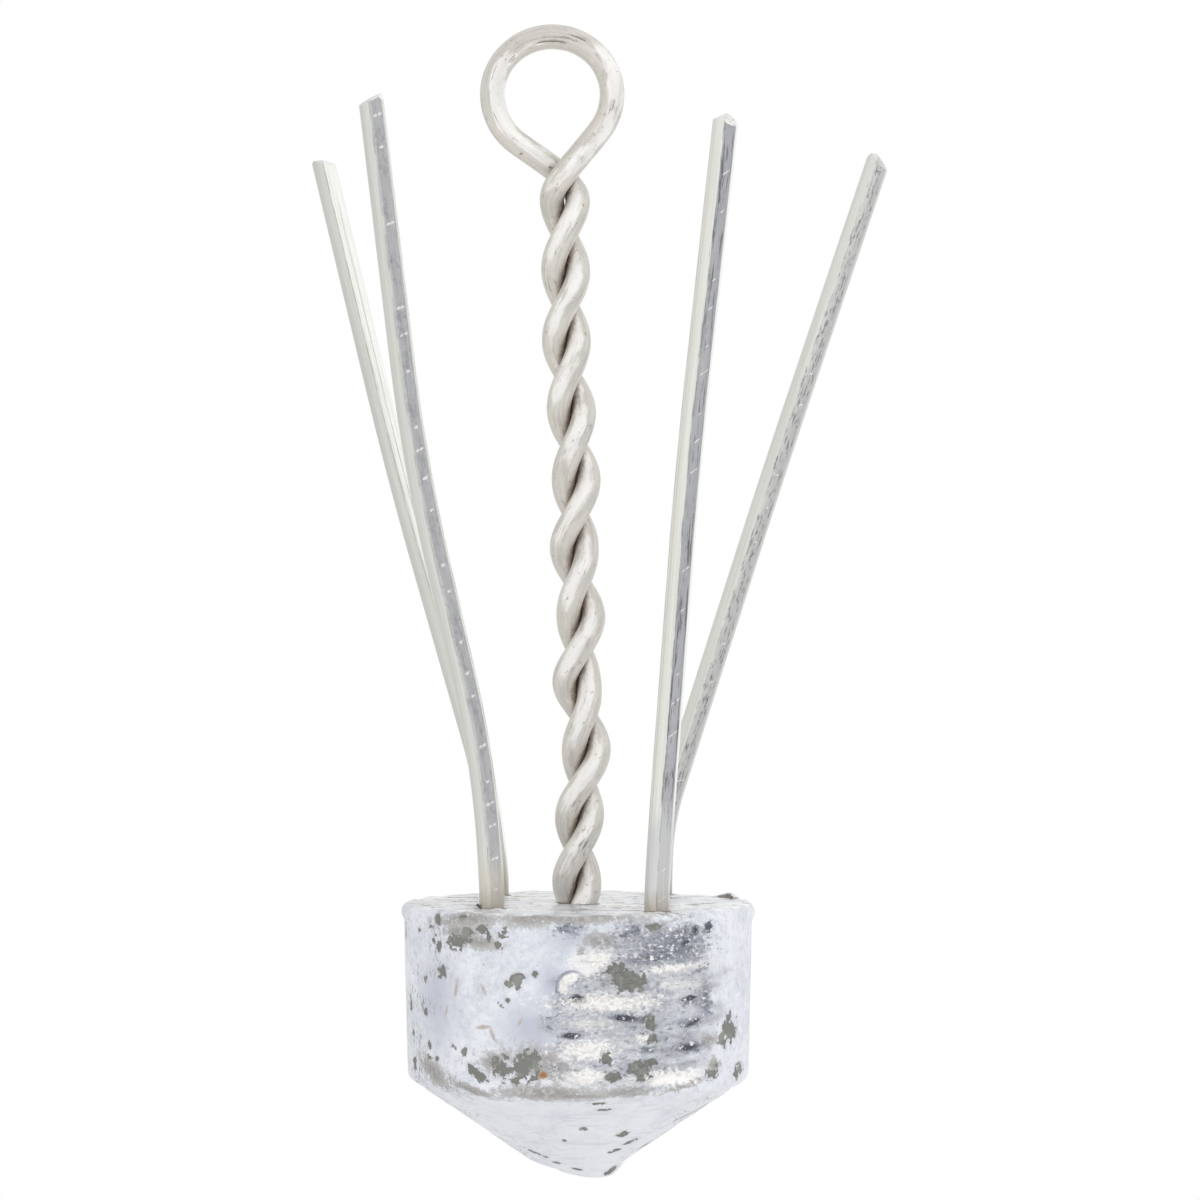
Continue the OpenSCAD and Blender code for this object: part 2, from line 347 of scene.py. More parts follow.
def floor_material():
    """Matt white paper that keeps the shadow under the object and fades to plain white further out."""
    material, tree = new_material("white_paper_sweep")
    place = add(tree, "TexCoord", take="Object")
    away = add(tree, "VectorMath", (place,), "LENGTH", take="Value")
    fade = add(tree, "MapRange", (away, *FLOOR_FADE), **SMOOTH)
    paper = add(tree, "BsdfDiffuse", (linear(FLOOR_COLOUR),))
    white = add(tree, "Emission", (linear(TENT_WHITE), 1.0))
    add(tree, "OutputMaterial", (add(tree, "MixShader", (fade, paper, white)),))
    return material


def make_floor():
    """The sinker hangs from its eye, a little above this floor."""
    bm = bmesh.new()
    bmesh.ops.create_grid(bm, x_segments=1, y_segments=1, size=FLOOR_HALF * MM)
    mesh = bpy.data.meshes.new("paper_floor")
    bm.to_mesh(mesh)
    bm.free()
    floor = put_in_scene("paper_floor", mesh)
    floor.location = MM * Vector((AXIS.x, 0, FACE_Z - NOSE_DEPTH - FLOOR_GAP))
    floor.visible_glossy = False
    mesh.materials.append(floor_material())


# Wire paths: the lines that the model is swept along, with the hand-made unevenness that a photograph shows:
# the depth, half length and sideways size of each sway of the stem, and where its strands close up
SWAYS = (
    (2.0, 5.0, 0.12),
    (14.0, 6.0, -0.18),
    (24.0, 4.5, 0.16),
    (30.4, 3.0, -0.2),
    (35.8, 3.0, 0.18),
    (41.0, 2.8, -0.25),
    (46.3, 5.5, 0.5),
    (56.0, 5.0, -0.17),
)
TIGHT_STRAND_R = 1.0
TIGHTENING = (2.5, 5.0)


def stem_centre(depth):
    """The middle of the twisted stem at a depth below the crossing under the eye."""
    share = clamp(1.0 - depth / STEM_H)
    side = -STEM_LEAN * (1.0 - math.cos(math.pi * share)) / 2 + STEM_BOW * math.sin(math.pi * share)
    side += sum(size * hump(depth, at, half) for at, half, size in SWAYS)
    return Vector((side, 0.0, STEM_H - depth))


def twist_at(depth):
    """The angle that the twist has turned through at a depth below the crossing, in degrees."""
    start = TWIST_START * clamp(depth / TWIST_START_L)
    return 360 * STEM_TURNS * depth / STEM_H + start - TWIST_DRIFT * math.sin(math.pi * depth / STEM_H)


def strand(depth, side):
    """A strand's centre line, about the body's axis. side is 0 for the right strand, 180 for the left."""
    share = max(0.0, (depth - STEM_H) / TAIL_DEPTH)
    wound = STRAND_R + (TIGHT_STRAND_R - STRAND_R) * ease(depth, *TIGHTENING)
    out = wound + (TAIL_SPREAD - wound) * share * share
    return stem_centre(depth) + around(side - 90 - twist_at(depth), out)


EYE_CENTRE = Vector((-EYE_OFFSET, 0.0, EYE_DROP))
EYE_TOP_SHARE = 0.96


def on_loop(way):
    """A point of the eye's ring, at an angle in its own plane. Its upper half is a little flat."""
    high = math.sin(way) * (EYE_TOP_SHARE if math.sin(way) > 0 else 1.0)
    return EYE_CENTRE + EYE_R * Vector((math.cos(way), 0.0, high))


STRAND_STEP = 0.35
LOOP_STEPS = 80
LIMB_STEPS = 14


def limb(start, start_way, start_share, end, end_way, end_share):
    """The points of a smooth line from start to end, with the ways and reaches that it has at both."""
    knee = start + start_share * (end - start).length * start_way
    hip = end - end_share * (end - start).length * end_way
    points = []
    for step in range(1, LIMB_STEPS):
        t = step / LIMB_STEPS
        u = 1.0 - t
        points.append(u**3 * start + 3 * u * u * t * knee + 3 * u * t * t * hip + t**3 * end)
    return points


def eye_wire_line():
    """Up one strand, round the eye and down the other, from tail to tail."""
    depths = STEM_H + TAIL_DEPTH
    steps = round(depths / STRAND_STEP)
    right = [strand(depths * (1 - n / steps), 0) for n in range(steps + 1)]
    left = [strand(depths * n / steps, 180) for n in range(steps + 1)]
    below = stem_centre(0) - EYE_CENTRE
    aim = math.atan2(below.z, below.x)
    spread = math.acos(EYE_R / below.length)
    first, last = aim + spread, aim - spread + 2 * math.pi
    loop = [on_loop(first + (last - first) * n / LOOP_STEPS) for n in range(LOOP_STEPS + 1)]
    first_way = Vector((-math.sin(first), 0, math.cos(first)))
    last_way = Vector((-math.sin(last), 0, math.cos(last)))
    rise = (right[-1] - right[-2]).normalized()
    fall = (left[1] - left[0]).normalized()
    up = limb(right[-1], rise, LIMB_LOW_SHARE, loop[0], first_way, LIMB_HIGH_SHARE)
    down = limb(loop[-1], last_way, LIMB_HIGH_SHARE, left[0], fall, LIMB_LOW_SHARE)
    return [FACE + place for place in right + up + loop + down + left]


CLAW_STEP = 0.5
KNEE_L = 0.9


def claw_lean(claw, along):
    """The claw's lean from upright, in radians, at a length past its pivot."""
    low = claw["lean"] * ease(along, -KNEE_L, KNEE_L)
    middle = claw["bend"] * clamp((along - WIRE_D) / claw["bend_l"])
    ease_start = EASE_START_SHARE * claw["length"]
    top = claw["ease"] * clamp((along - ease_start) / (EASE_LENGTH_SHARE * claw["length"]))
    return math.radians(low + middle + top)


def claw_root(claw):
    """The claw's pivot, a little above the place where its wire leaves the lead."""
    return AXIS + around(claw["place"], BODY_R - claw["inset"], FACE_Z + PIVOT_H)


def claw_line(claw):
    """From the foot in the lead up to the pivot, and from there out to just past the cut end."""
    outwards = around(claw["heading"], 1.0)
    root = claw_root(claw)
    above = [root]
    for n in range(math.ceil((claw["length"] - PIVOT_H + WIRE_D) / CLAW_STEP)):
        lean = claw_lean(claw, (n + 0.5) * CLAW_STEP)
        above.append(above[-1] + CLAW_STEP * (math.sin(lean) * outwards + math.cos(lean) * UP))
    inwards = (AXIS - root).to_2d().to_3d().normalized()
    shank = ANCHOR_DEPTH - WIRE_D + PIVOT_H
    steps = round(shank / CLAW_STEP)
    below = [root - shank * n / steps * UP for n in range(1, steps + 1)]
    elbow = below[-1] + WIRE_D * inwards
    for degrees in FOOT_BEND:
        way = math.radians(degrees)
        below.append(elbow - WIRE_D * (math.cos(way) * inwards + math.sin(way) * UP))
    below.append(below[-1] + FOOT_L * inwards)
    return below[::-1], above


def lengths_along(points):
    """The length of the line up to each point."""
    reached = [0.0]
    for before, after in zip(points, points[1:]):
        reached.append(reached[-1] + (after - before).length)
    return reached


def frames_along(points, first_side):
    """Each point of a line and two sides of it, which never spin about the line."""
    found = []
    side = first_side
    way = (points[1] - points[0]).normalized()
    for n, point in enumerate(points):
        ahead = points[min(n + 1, len(points) - 1)]
        behind = points[max(n - 1, 0)]
        turned = (ahead - behind).normalized()
        side = way.rotation_difference(turned) @ side
        side = (side - side.dot(turned) * turned).normalized()
        found.append((point, side, turned.cross(side)))
        way = turned
    return found


def bend_along(bm, points, last_side):
    """Bends a straight wire, which stands on zero along Z, to follow the line. Its X ends up at last_side."""
    reached = lengths_along(points)
    frames = frames_along(points[::-1], last_side)[::-1]
    for vert in bm.verts:
        along = vert.co.z
        n = min(max(bisect.bisect_right(reached, along) - 1, 0), len(reached) - 2)
        share = (along - reached[n]) / (reached[n + 1] - reached[n])
        (p0, s0, u0), (p1, s1, u1) = frames[n], frames[n + 1]
        centre = p0.lerp(p1, share)
        vert.co = centre + vert.co.x * s0.lerp(s1, share) + vert.co.y * u0.lerp(u1, share)


WIRE_SIDES = 32


def straight_wire(length, ring_step):
    """A straight closed wire from zero up, with rings along it."""
    bm = bmesh.new()
    bmesh.ops.create_cone(
        bm, cap_ends=True, cap_tris=False, segments=WIRE_SIDES, radius1=WIRE_R, radius2=WIRE_R, depth=length
    )
    bmesh.ops.translate(bm, verts=bm.verts, vec=(0, 0, length / 2))
    long_edges = [e for e in bm.edges if abs(e.verts[0].co.z - e.verts[1].co.z) > length / 2]
    bmesh.ops.subdivide_edges(bm, edges=long_edges, cuts=round(length / ring_step), use_grid_fill=True)
    return bm


def keep_straight_place(bm, seed):
    """Stores each vertex's place on the straight wire, so that drawn marks follow the wire once bent."""
    layer = bm.verts.layers.float_vector.new("straight")
    for vert in bm.verts:
        vert[layer] = vert.co + seed * UP


def finish_mesh(bm, name, material, body=None):
    """Turns the mesh into metres and into a piece of the object, which rides on body if one is given."""
    bmesh.ops.recalc_face_normals(bm, faces=bm.faces)
    bmesh.ops.scale(bm, vec=(MM, MM, MM), verts=bm.verts)
    for face in bm.faces:
        face.smooth = True
    mesh = bpy.data.meshes.new(name)
    bm.to_mesh(mesh)
    bm.free()
    mesh.materials.append(material)
    piece = put_in_scene(name, mesh)
    if body:
        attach(piece, body)
    return piece


# Eye wire. Marks are limited by the distance to the other strand, the depth below the crossing, the height
# and how much the surface faces the way from which its painted highlight falls
RING_STEP = 0.34
CREVICE_REACH = 0.8
CREVICE_TOP = (-3.0, -0.5)
HIGHLIGHT_RING_WAY = Vector((0.5, -0.85, 0.1)).normalized()
HIGHLIGHT_RING = (0.6, 0.93)
HIGHLIGHT_TWIST_WAY = Vector((-0.2, -0.95, 0.25)).normalized()
HIGHLIGHT_TWIST = (0.62, 0.98)
RING_TO_TWIST = (-2.0, 1.5)
HIGHLIGHT_OFF_RING_TOP = (EYE_DROP + 4.9, EYE_DROP + 3.0)
HIGHLIGHT_STRENGTH = 0.6
HIGHLIGHT_EDGE = (0.0, 0.5)
SCUFF_EDGE = (0.0, 0.4)
# Where the photograph shows the wire scuffed dark, and where its highlight is painted white: centre, width,
# height and tilt in its pixels
SCUFFS_PX = {
    "ring_top": (562, 39, 90, 11, 2),
    "ring_top_left": (511, 59, 18, 11, 30),
    "left_limb": (519, 150, 24, 6, -42),
    "crossing": (552, 168, 9, 6, 0),
    "painted_reflection_side": (610, 108, 28, 9, 60),
    "lobe_left": (548, 282, 9, 20, 0),
    "lobe_slit": (578, 812, 11, 54, 20),
    "lobe_low": (585, 847, 15, 18, 45),
    "lobe_foot": (574, 882, 13, 17, 0),
}
HIGHLIGHTS_PX = {
    "ring_left": (499, 92, 24, 84, 5),
    "ring_right": (612, 80, 17, 60, -12),
    "left_limb": (522, 140, 46, 9, -42),
}


def inside_spots(place, spots):
    """How far inside the nearest of the spots the camera sees a place: 1 in a middle, 0 from an edge on."""
    scale = PX_PER_MM * CAMERA_AWAY / (CAMERA_AWAY + place.y)
    right = FRAME_PX / 2 + (place.x - AXIS.x - CAMERA_SIDE) * scale
    down = EYE_LEVEL_PX - (place.z - FACE_Z - CAMERA_UP) * scale
    deepest = 0.0
    for across, low, wide, high, tilt in spots.values():
        inside = inside_oval(right - across, low - down, wide / 2, high / 2, math.radians(tilt))
        deepest = max(deepest, inside)
    return deepest


def make_eye_wire(material):
    """One wire, twisted on itself. It stores where its strands meet, where its highlight is painted and where
    it is scuffed.
    """
    points = eye_wire_line()
    length = lengths_along(points)[-1]
    bm = straight_wire(length, RING_STEP)
    keep_straight_place(bm, 0.0)
    bend_along(bm, points, Vector((0, 1, 0)))
    straight = bm.verts.layers.float_vector["straight"]
    crevice, worn, scuffed = (bm.verts.layers.float.new(name) for name in ("crevice", "worn", "scuffed"))
    bmesh.ops.recalc_face_normals(bm, faces=bm.faces)
    bm.normal_update()
    for vert in bm.verts:
        local = vert.co - FACE
        depth = STEM_H - local.z
        other = 180 if vert[straight].z < length / 2 else 0
        gap = (local - strand(max(0.0, depth), other)).length - WIRE_R
        # crevice: how near the other strand, where the grooves get dirt and painted shade
        vert[crevice] = ease(gap, CREVICE_REACH, 0.0) * ease(depth, *CREVICE_TOP)
        # worn holds a painted highlight: white where the surface faces that way, faded at the ring top, with
        # painted highlight spots on the front
        on_twist = ease(vert.normal.dot(HIGHLIGHT_TWIST_WAY), *HIGHLIGHT_TWIST)
        on_ring = ease(vert.normal.dot(HIGHLIGHT_RING_WAY), *HIGHLIGHT_RING) * ease(local.z, *HIGHLIGHT_OFF_RING_TOP)
        vert[worn] = on_ring + (on_twist - on_ring) * ease(depth, *RING_TO_TWIST)
        if vert.normal.y < 0:
            vert[worn] += HIGHLIGHT_STRENGTH * ease(inside_spots(vert.co, HIGHLIGHTS_PX), *HIGHLIGHT_EDGE)
            vert[scuffed] = ease(inside_spots(vert.co, SCUFFS_PX), *SCUFF_EDGE)
    piece = finish_mesh(bm, "eye_and_stem_wire", material, "sinker")
    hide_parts("eye_wire")


# Claws. Side cutters leave two planes on each end. For each plane: the way that it faces, in degrees from
# the right towards the front, its slant, and its height on the wire's middle, past the end
CUTS = {
    "front_left": ((150, 24, 0.0), (20, 55, 1.25)),
    "front_right": ((40, 30, -0.05), (175, 26, 0.2)),
    "back_left": ((40, 34, -0.15), (180, 24, 0.3)),
    "back_right": ((35, 42, -0.1), (180, 50, 0.95)),
}
SHARP_ANGLE = 0.35
BLEND_REACH = 1.55
SPARE_LENGTH = 0.01


def cut_end(bm, height, cuts):
    """Cuts the wire's upper end with slanted planes, whose edges stay sharp."""
    for turn, slant, lift in cuts:
        tilt = math.radians(slant)
        bmesh.ops.bisect_plane(
            bm,
            geom=bm.verts[:] + bm.edges[:] + bm.faces[:],
            plane_co=(0, 0, height + lift),
            plane_no=around(turn, math.sin(tilt), math.cos(tilt)),
            clear_outer=True,
        )
        bmesh.ops.holes_fill(bm, edges=[e for e in bm.edges if e.is_boundary], sides=0)
    for edge in bm.edges:
        if edge.verts[0].co.z > height - WIRE_D and edge.calc_face_angle(0.0) > SHARP_ANGLE:
            edge.smooth = False


def make_claw(name, claw, seed, material):
    """One wire from its foot in the lead to its cut end, bending at the lead between the two bodies."""
    below, above = claw_line(claw)
    reached = lengths_along(below + above)
    bm = straight_wire(reached[-1] - SPARE_LENGTH, CLAW_STEP)
    cut_end(bm, reached[len(below)] + claw["length"] - PIVOT_H, CUTS[name])
    keep_straight_place(bm, seed)
    bend_along(bm, below + above, Vector((1, 0, 0)))
    height = bm.verts.layers.float.new("above_lead")
    for vert in bm.verts:
        vert[height] = vert.co.z - FACE_Z
    piece = finish_mesh(bm, f"{name}_claw_wire", material)
    root = claw_root(claw)
    reach = BLEND_REACH * UP
    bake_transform(piece, "sinker", f"{name}_claw", start=MM * (root - reach), end=MM * (root + reach))
    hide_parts(f"{name}_anchor", f"{name}_claw")


# Lead: the marks that the photograph shows, kind by kind and part by part. In the cold run, dark runs are a
# painted dark reflection, bright runs and gleams painted highlights, and pits painted shade. Each mark is
# given by its centre, width, height and, if it has one, its tilt to the right in degrees, in the photograph's
# pixels
MARKS_PX = {
    "chip": {
        "upper_left": ((459, 942, 19, 17), (467, 934, 21, 15, 20), (481, 929, 16, 8), (489, 936, 6, 13)),
        "upper_middle": ((503, 933, 12, 9, 10), (497, 945, 10, 9)),
        "left_streak": ((435, 920, 5, 13, 15), (439, 945, 6, 12, 20)),
        "left_specks": ((429, 926, 6, 8), (436, 935, 4, 4), (434, 941, 3, 8), (420, 930, 3, 5)),
        "left_specks_low": ((442, 971, 8, 13), (426, 979, 4, 9, 10)),
        "middle_left": ((517, 981, 15, 14, 20), (510, 985, 10, 6, -20), (534, 974, 8, 7)),
        "star": ((629, 980, 32, 24, -15), (619, 975, 16, 12, -10), (621, 990, 9, 8)),
        "star_points": ((622, 967, 8, 12, 10), (612, 969, 13, 12, 30), (641, 981, 14, 9, 15)),
        "right_middle": ((729, 1031, 18, 24), (729, 1018, 5, 12), (722, 1041, 9, 7)),
        "inner_right": ((651, 1025, 17, 18), (652, 1038, 9, 15)),
        "large_low": ((527, 1066, 26, 30, -8), (503, 1068, 20, 22, 30), (516, 1080, 15, 8)),
        "large_low_smear": ((476, 1073, 24, 10, -30),),
        "low_left": ((464, 1052, 6, 10), (430, 1057, 6, 5), (430, 1045, 4, 10, 30), (437, 1059, 4, 6)),
        "low_left_dash": ((453, 1046, 6, 4, -40),),
        "low_middle": ((606, 1060, 11, 15), (610, 1078, 18, 12), (640, 1071, 20, 22, 25), (650, 1062, 14, 7)),
        "low_right": ((712, 1073, 15, 14), (738, 1069, 10, 17)),
        "high_right": ((655, 927, 13, 7),),
        "left_edge": ((415, 1062, 5, 15, 10), (411, 1004, 3, 20), (413, 1032, 3, 12), (406, 934, 2, 14)),
        "left_edge_crumbs": ((422, 1004, 3, 5), (426, 1012, 4, 8, 20)),
        "middle": ((501, 1006, 13, 2, -40), (508, 1000, 4, 4)),
        "rim": ((459, 918, 10, 3, 10),),
        "cone": ((624, 1133, 12, 7), (630, 1142, 12, 6, 20), (584, 1129, 7, 4), (616, 1150, 10, 6, 20)),
        "cone_dashes": ((564, 1140, 4, 4), (604, 1109, 14, 3), (598, 1104, 16, 2, 5)),
        "cone_outline": ((536, 1153, 14, 4, -25), (556, 1162, 12, 4, -20), (572, 1169, 10, 3, -10)),
        "cone_foot": ((609, 1169, 10, 8, 30),),
        "cone_right": ((697, 1110, 16, 3, 32), (654, 1141, 14, 3, 38)),
    },
    "cold_run": {
        "whole": ((650, 1002, 165, 175),),
        "left_reach": ((585, 1015, 90, 120),),
        "low": ((630, 1070, 170, 40),),
    },
    # Dark runs: painted dark reflections
    "dark_run_reflection": {
        "upper": ((676, 944, 96, 48), (634, 932, 44, 20), (656, 957, 90, 18, 5), (702, 967, 24, 12, 20)),
        "left_corner": ((568, 930, 34, 16),),
        "middle": ((630, 1018, 42, 12, -8),),
        "under_bubble": ((573, 1036, 26, 9),),
        "right": ((690, 1001, 26, 9), (706, 1003, 18, 44), (692, 1022, 34, 14), (690, 1047, 34, 18)),
        "inner_low": ((646, 1050, 24, 10),),
    },
    # Bright runs: painted highlights
    "bright_run_highlight": {
        "above_star": ((594, 963, 44, 24, 20),),
        "right_streaks": ((680, 968, 60, 9, 5), (680, 985, 44, 9)),
        "across": ((612, 1003, 100, 20),),
        "below_bubble": ((592, 1024, 40, 12),),
        "low": ((590, 1050, 66, 22, 5), (644, 1040, 16, 12)),
        "foot": ((586, 1078, 52, 15), (668, 1077, 70, 16)),
    },
    # Smudges: dirt, and painted shade under the rim, in the belt and along the crease at the shoulder
    "smudge_and_shade": {
        "upper_middle": ((600, 941, 44, 20, -5), (582, 952, 10, 11), (655, 929, 26, 12)),
        "under_rim": ((566, 919, 190, 14), (530, 919, 76, 20), (462, 920, 84, 20, 6)),
        "by_chips": ((458, 932, 44, 16), (538, 1062, 60, 36), (494, 1062, 34, 24), (604, 978, 16, 20)),
        "low_middle": ((556, 1070, 30, 30),),
        "belt": ((470, 1090, 52, 13, -14), (545, 1093, 116, 20)),
        "belt_right": ((626, 1092, 64, 12, 4), (688, 1084, 56, 9, 12)),
        "crease": ((560, 1096, 150, 8),),
        "shoulder_left": ((434, 1072, 40, 26, -24),),
        "left_high": ((478, 942, 44, 16),),
        "right": ((714, 1064, 16, 16), (708, 1040, 20, 14)),
    },
    "shade": {
        "under_rim": ((572, 938, 60, 32),),
        "left_of_bubble": ((552, 985, 30, 60),),
        "centre_left": ((535, 1030, 70, 60),),
        "left_side": ((436, 1000, 40, 90),),
    },
    # Pits: painted shade
    "pit": {
        "bubble": ((577, 999, 18, 9, -10), (571, 1036, 22, 6)),
        "middle": ((624, 1018, 30, 7, -5),),
        "right": ((690, 998, 20, 5, 5), (693, 1022, 16, 6, 20), (689, 1047, 18, 8)),
        "upper_right": ((686, 942, 12, 7, 30), (711, 927, 8, 14, -20), (697, 931, 8, 10, 20)),
    },
    # Gleams: painted highlights
    "gleam": {
        "across": ((610, 1003, 90, 13), (668, 968, 46, 7, 5)),
        "low_left": ((587, 1050, 50, 17),),
        "foot": ((590, 1077, 30, 13), (674, 1076, 50, 14)),
        "inner": ((644, 1038, 12, 10),),
        "left_of_star": ((598, 961, 26, 12, 25),),
    },
    "rust": {"by_large_chip": ((543, 1075, 13, 11),)},
    "scratch": {
        "high": ((456, 987, 4, 26, -14), (483, 989, 4, 20, 32)),
        "middle": ((483, 1027, 18, 5, 5), (493, 1036, 4, 22, 25), (520, 1022, 3, 12, -30)),
        "long": ((506, 1052, 3.5, 36, 37),),
        "left": ((472, 1071, 4, 24, 33), (446, 1012, 3, 18, -20)),
    },
}
BUBBLE_PX = (572, 987)
PIT_PX = (578, 999)

# The same kinds of marks on the sides and back, which the photograph doesn't show: for each mark its
# direction in degrees, its depth below the face, and its half width and half height in mm
UNSEEN_MARKS = {
    "cold_run": ((95, 4.0, 4.5, 1.8), (120, 9.5, 3.2, 2.4), (78, 12.0, 3.4, 1.3)),
    "dark_run_reflection": ((98, 3.6, 2.6, 0.8), (121, 9.0, 1.8, 0.9), (76, 12.2, 1.5, 0.5)),
    "bright_run_highlight": ((90, 5.2, 2.2, 0.5), (118, 10.9, 2.2, 0.5)),
    # Smudges: painted shade round under the rim and along the shoulder, dirt on the wall between
    "smudge_and_shade": (
        (60, 1.0, 4.5, 0.4), (112, 0.9, 6.0, 0.5), (160, 1.1, 4.0, 0.6), (140, 13.6, 5.0, 0.6),
        (95, 14.2, 6.0, 0.5), (45, 14.0, 5.0, 0.6), (12, 14.1, 3.0, 0.7), (168, 14.3, 3.5, 0.6),
        (30, 6.5, 1.4, 1.8), (84, 11.2, 3.2, 1.6), (128, 3.4, 2.4, 1.1), (150, 10.4, 1.8, 1.2),
    ),
    "shade": ((70, 7.0, 4.0, 3.0), (160, 5.0, 3.0, 4.0), (10, 8.0, 3.0, 4.0)),
    "pit": ((99, 3.4, 0.8, 0.3), (122, 9.2, 0.7, 0.3)),
    "gleam": ((92, 5.4, 1.8, 0.4), (116, 11.0, 1.6, 0.4)),
    "scratch": (
        (50, 6.0, 0.15, 1.4), (63, 10.0, 1.2, 0.15), (74, 5.2, 0.13, 1.0), (88, 8.3, 1.1, 0.13),
        (104, 6.4, 0.13, 1.6), (110, 11.8, 0.8, 0.15), (126, 6.0, 0.14, 1.2), (137, 8.6, 1.0, 0.13),
        (150, 8.0, 0.15, 1.0),
    ),
}
# Chips there: their number and seed, their directions, the least, largest and commonest depth, the least
# half size and how much larger some are, and the ranges of their flatness and tilt
UNSEEN_CHIPS = 74
UNSEEN_SEED = 12
UNSEEN_DEGREES = (8, 172)
UNSEEN_DEPTHS = (1.5, 17.0, 12.0)
UNSEEN_HALF = 0.28
UNSEEN_GROWTH = 1.3
UNSEEN_FLATNESS = (0.5, 1.0)
UNSEEN_TILT = (-0.8, 0.8)


def outline_radius(down):
    """The casting's plain radius at a depth below the pouring face."""
    if down <= LIP_H:
        return LIP_R
    if down <= LIP_FADE:
        return LIP_R + (BODY_R - LIP_R) * (down - LIP_H) / (LIP_FADE - LIP_H)
    if down <= BODY_H:
        return BODY_R + (SHOULDER_R - BODY_R) * (down - LIP_FADE) / (BODY_H - LIP_FADE)
    return max(TIP_R, SHOULDER_R + (TIP_R - SHOULDER_R) * (down - BODY_H) / (NOSE_DEPTH - BODY_H))


SEEN_ROUNDS = 4
LEAST_FACING = 0.35
PATCH_REACH = 2.2


def seen_at(pixel_x, pixel_y):
    """Where the view through a pixel meets the casting, about the axis, with the face at zero."""
    start = Vector((CAMERA_SIDE, -CAMERA_AWAY, CAMERA_UP))
    right = (pixel_x - FRAME_PX / 2) / PX_PER_MM
    way = Vector((right, CAMERA_AWAY, (EYE_LEVEL_PX - pixel_y) / PX_PER_MM))
    radius = BODY_R
    for _ in range(SEEN_ROUNDS):
        a = way.x**2 + way.y**2
        b = start.x * way.x + start.y * way.y
        c = start.x**2 + start.y**2 - radius**2
        inside = max(0.0, b * b - a * c)
        hit = start + way * ((-b - math.sqrt(inside)) / a)
        radius = outline_radius(-hit.z)
    return hit


def patch(pixel_x, pixel_y, wide_px, high_px, tilt=0):
    """A mark on the wall that shows in the photograph: centre, half sizes in mm and tilt in radians."""
    half = wide_px / PX_PER_MM / 2
    centre = seen_at(pixel_x, pixel_y)
    facing = max(LEAST_FACING, -centre.y / Vector((centre.x, centre.y)).length)
    return centre, half / facing, high_px / PX_PER_MM / 2, math.radians(tilt)


def unseen_chips():
    """Chips of the same kinds on the sides and back, which the photograph doesn't show."""
    chance = random.Random(UNSEEN_SEED)
    spots = []
    for _ in range(UNSEEN_CHIPS):
        degrees = chance.uniform(*UNSEEN_DEGREES)
        down = chance.triangular(*UNSEEN_DEPTHS)
        size = UNSEEN_HALF + UNSEEN_GROWTH * chance.random() ** 3
        flat = chance.uniform(*UNSEEN_FLATNESS)
        tilt = chance.uniform(*UNSEEN_TILT)
        spots.append((around(degrees, outline_radius(down), -down), size, size * flat, tilt))
    return spots


def paint_patches(bm, tree, name, spots):
    """Stores under a name how far inside the nearest patch each vertex of the wall is: -1 is far outside."""
    layer = bm.verts.layers.float.new(name)
    bm.verts.ensure_lookup_table()
    for vert in bm.verts:
        vert[layer] = -1.0
    for centre, half_wide, half_high, tilt in spots:
        sideways = Vector((-centre.y, centre.x, 0.0)).normalized()
        for place, index, _ in tree.find_range(centre, PATCH_REACH * max(half_wide, half_high)):
            if place.z < 0.0:
                off = place - centre
                inside = inside_oval(off.dot(sideways), off.z, half_wide, half_high, tilt)
                vert = bm.verts[index]
                vert[layer] = max(vert[layer], inside)


def paint_lead(bm):
    """Stores where each kind of mark lies on the plain casting."""
    tree = KDTree(len(bm.verts))
    for vert in bm.verts:
        tree.insert(vert.co, vert.index)
    tree.balance()
    for kind, parts in MARKS_PX.items():
        spots = [patch(*mark) for marks in parts.values() for mark in marks]
        for degrees, down, half_wide, half_high in UNSEEN_MARKS.get(kind, ()):
            spots.append((around(degrees, outline_radius(down), -down), half_wide, half_high, 0.0))
        if kind == "chip":
            spots += unseen_chips()
        paint_patches(bm, tree, kind, spots)


# Fineness of the casting's mesh, in mm along its outline and in steps round it
ROWS_WALL = 0.14
ROWS_FACE = 0.26
ROWS_CONE = 0.2
FLAT_DEPTH = 0.01
CORNER_STEPS = 7
SEGMENTS = 384
MERGE = 0.0005

# Unevenness that the function waves makes: height, size of its spots across and up, and seed
WALL_WAVES = (0.07, 6.0, 6.0)
WALL_GRAIN = (0.022, 1.7, 1.4, 9.0)
RUN_RIDGES = (0.26, 2.4, 0.62, 3.0)
RUN_GRAIN = (0.06, 0.8, 0.33, 5.0)
RUN_EDGE_WAVES = (0.4, 2.2, 0.9, 1.0)
CREASE_WAVES = (0.25, 5.0, 50.0, 2.0)
CONE_RINGS = (0.035, 6.0, 0.42, 7.0)
FACE_WAVES = (0.10, 7.0, 7.0, 4.0)
RIM_WAVES = (0.16, 2.6, 9.0, 6.0)
WRINKLE_WAVES = (1.5, 4.0, 4.0, 8.0)
SPECKLE_WAVES = (1.0, 3.0, 2.0, 11.0)

# Cold run: how deep it lies, and the values and depths that it starts between
RUN_SINK = 0.07
RUN_EDGE = (0.0, 0.35)
RUN_TOP = (0.8, 2.0)
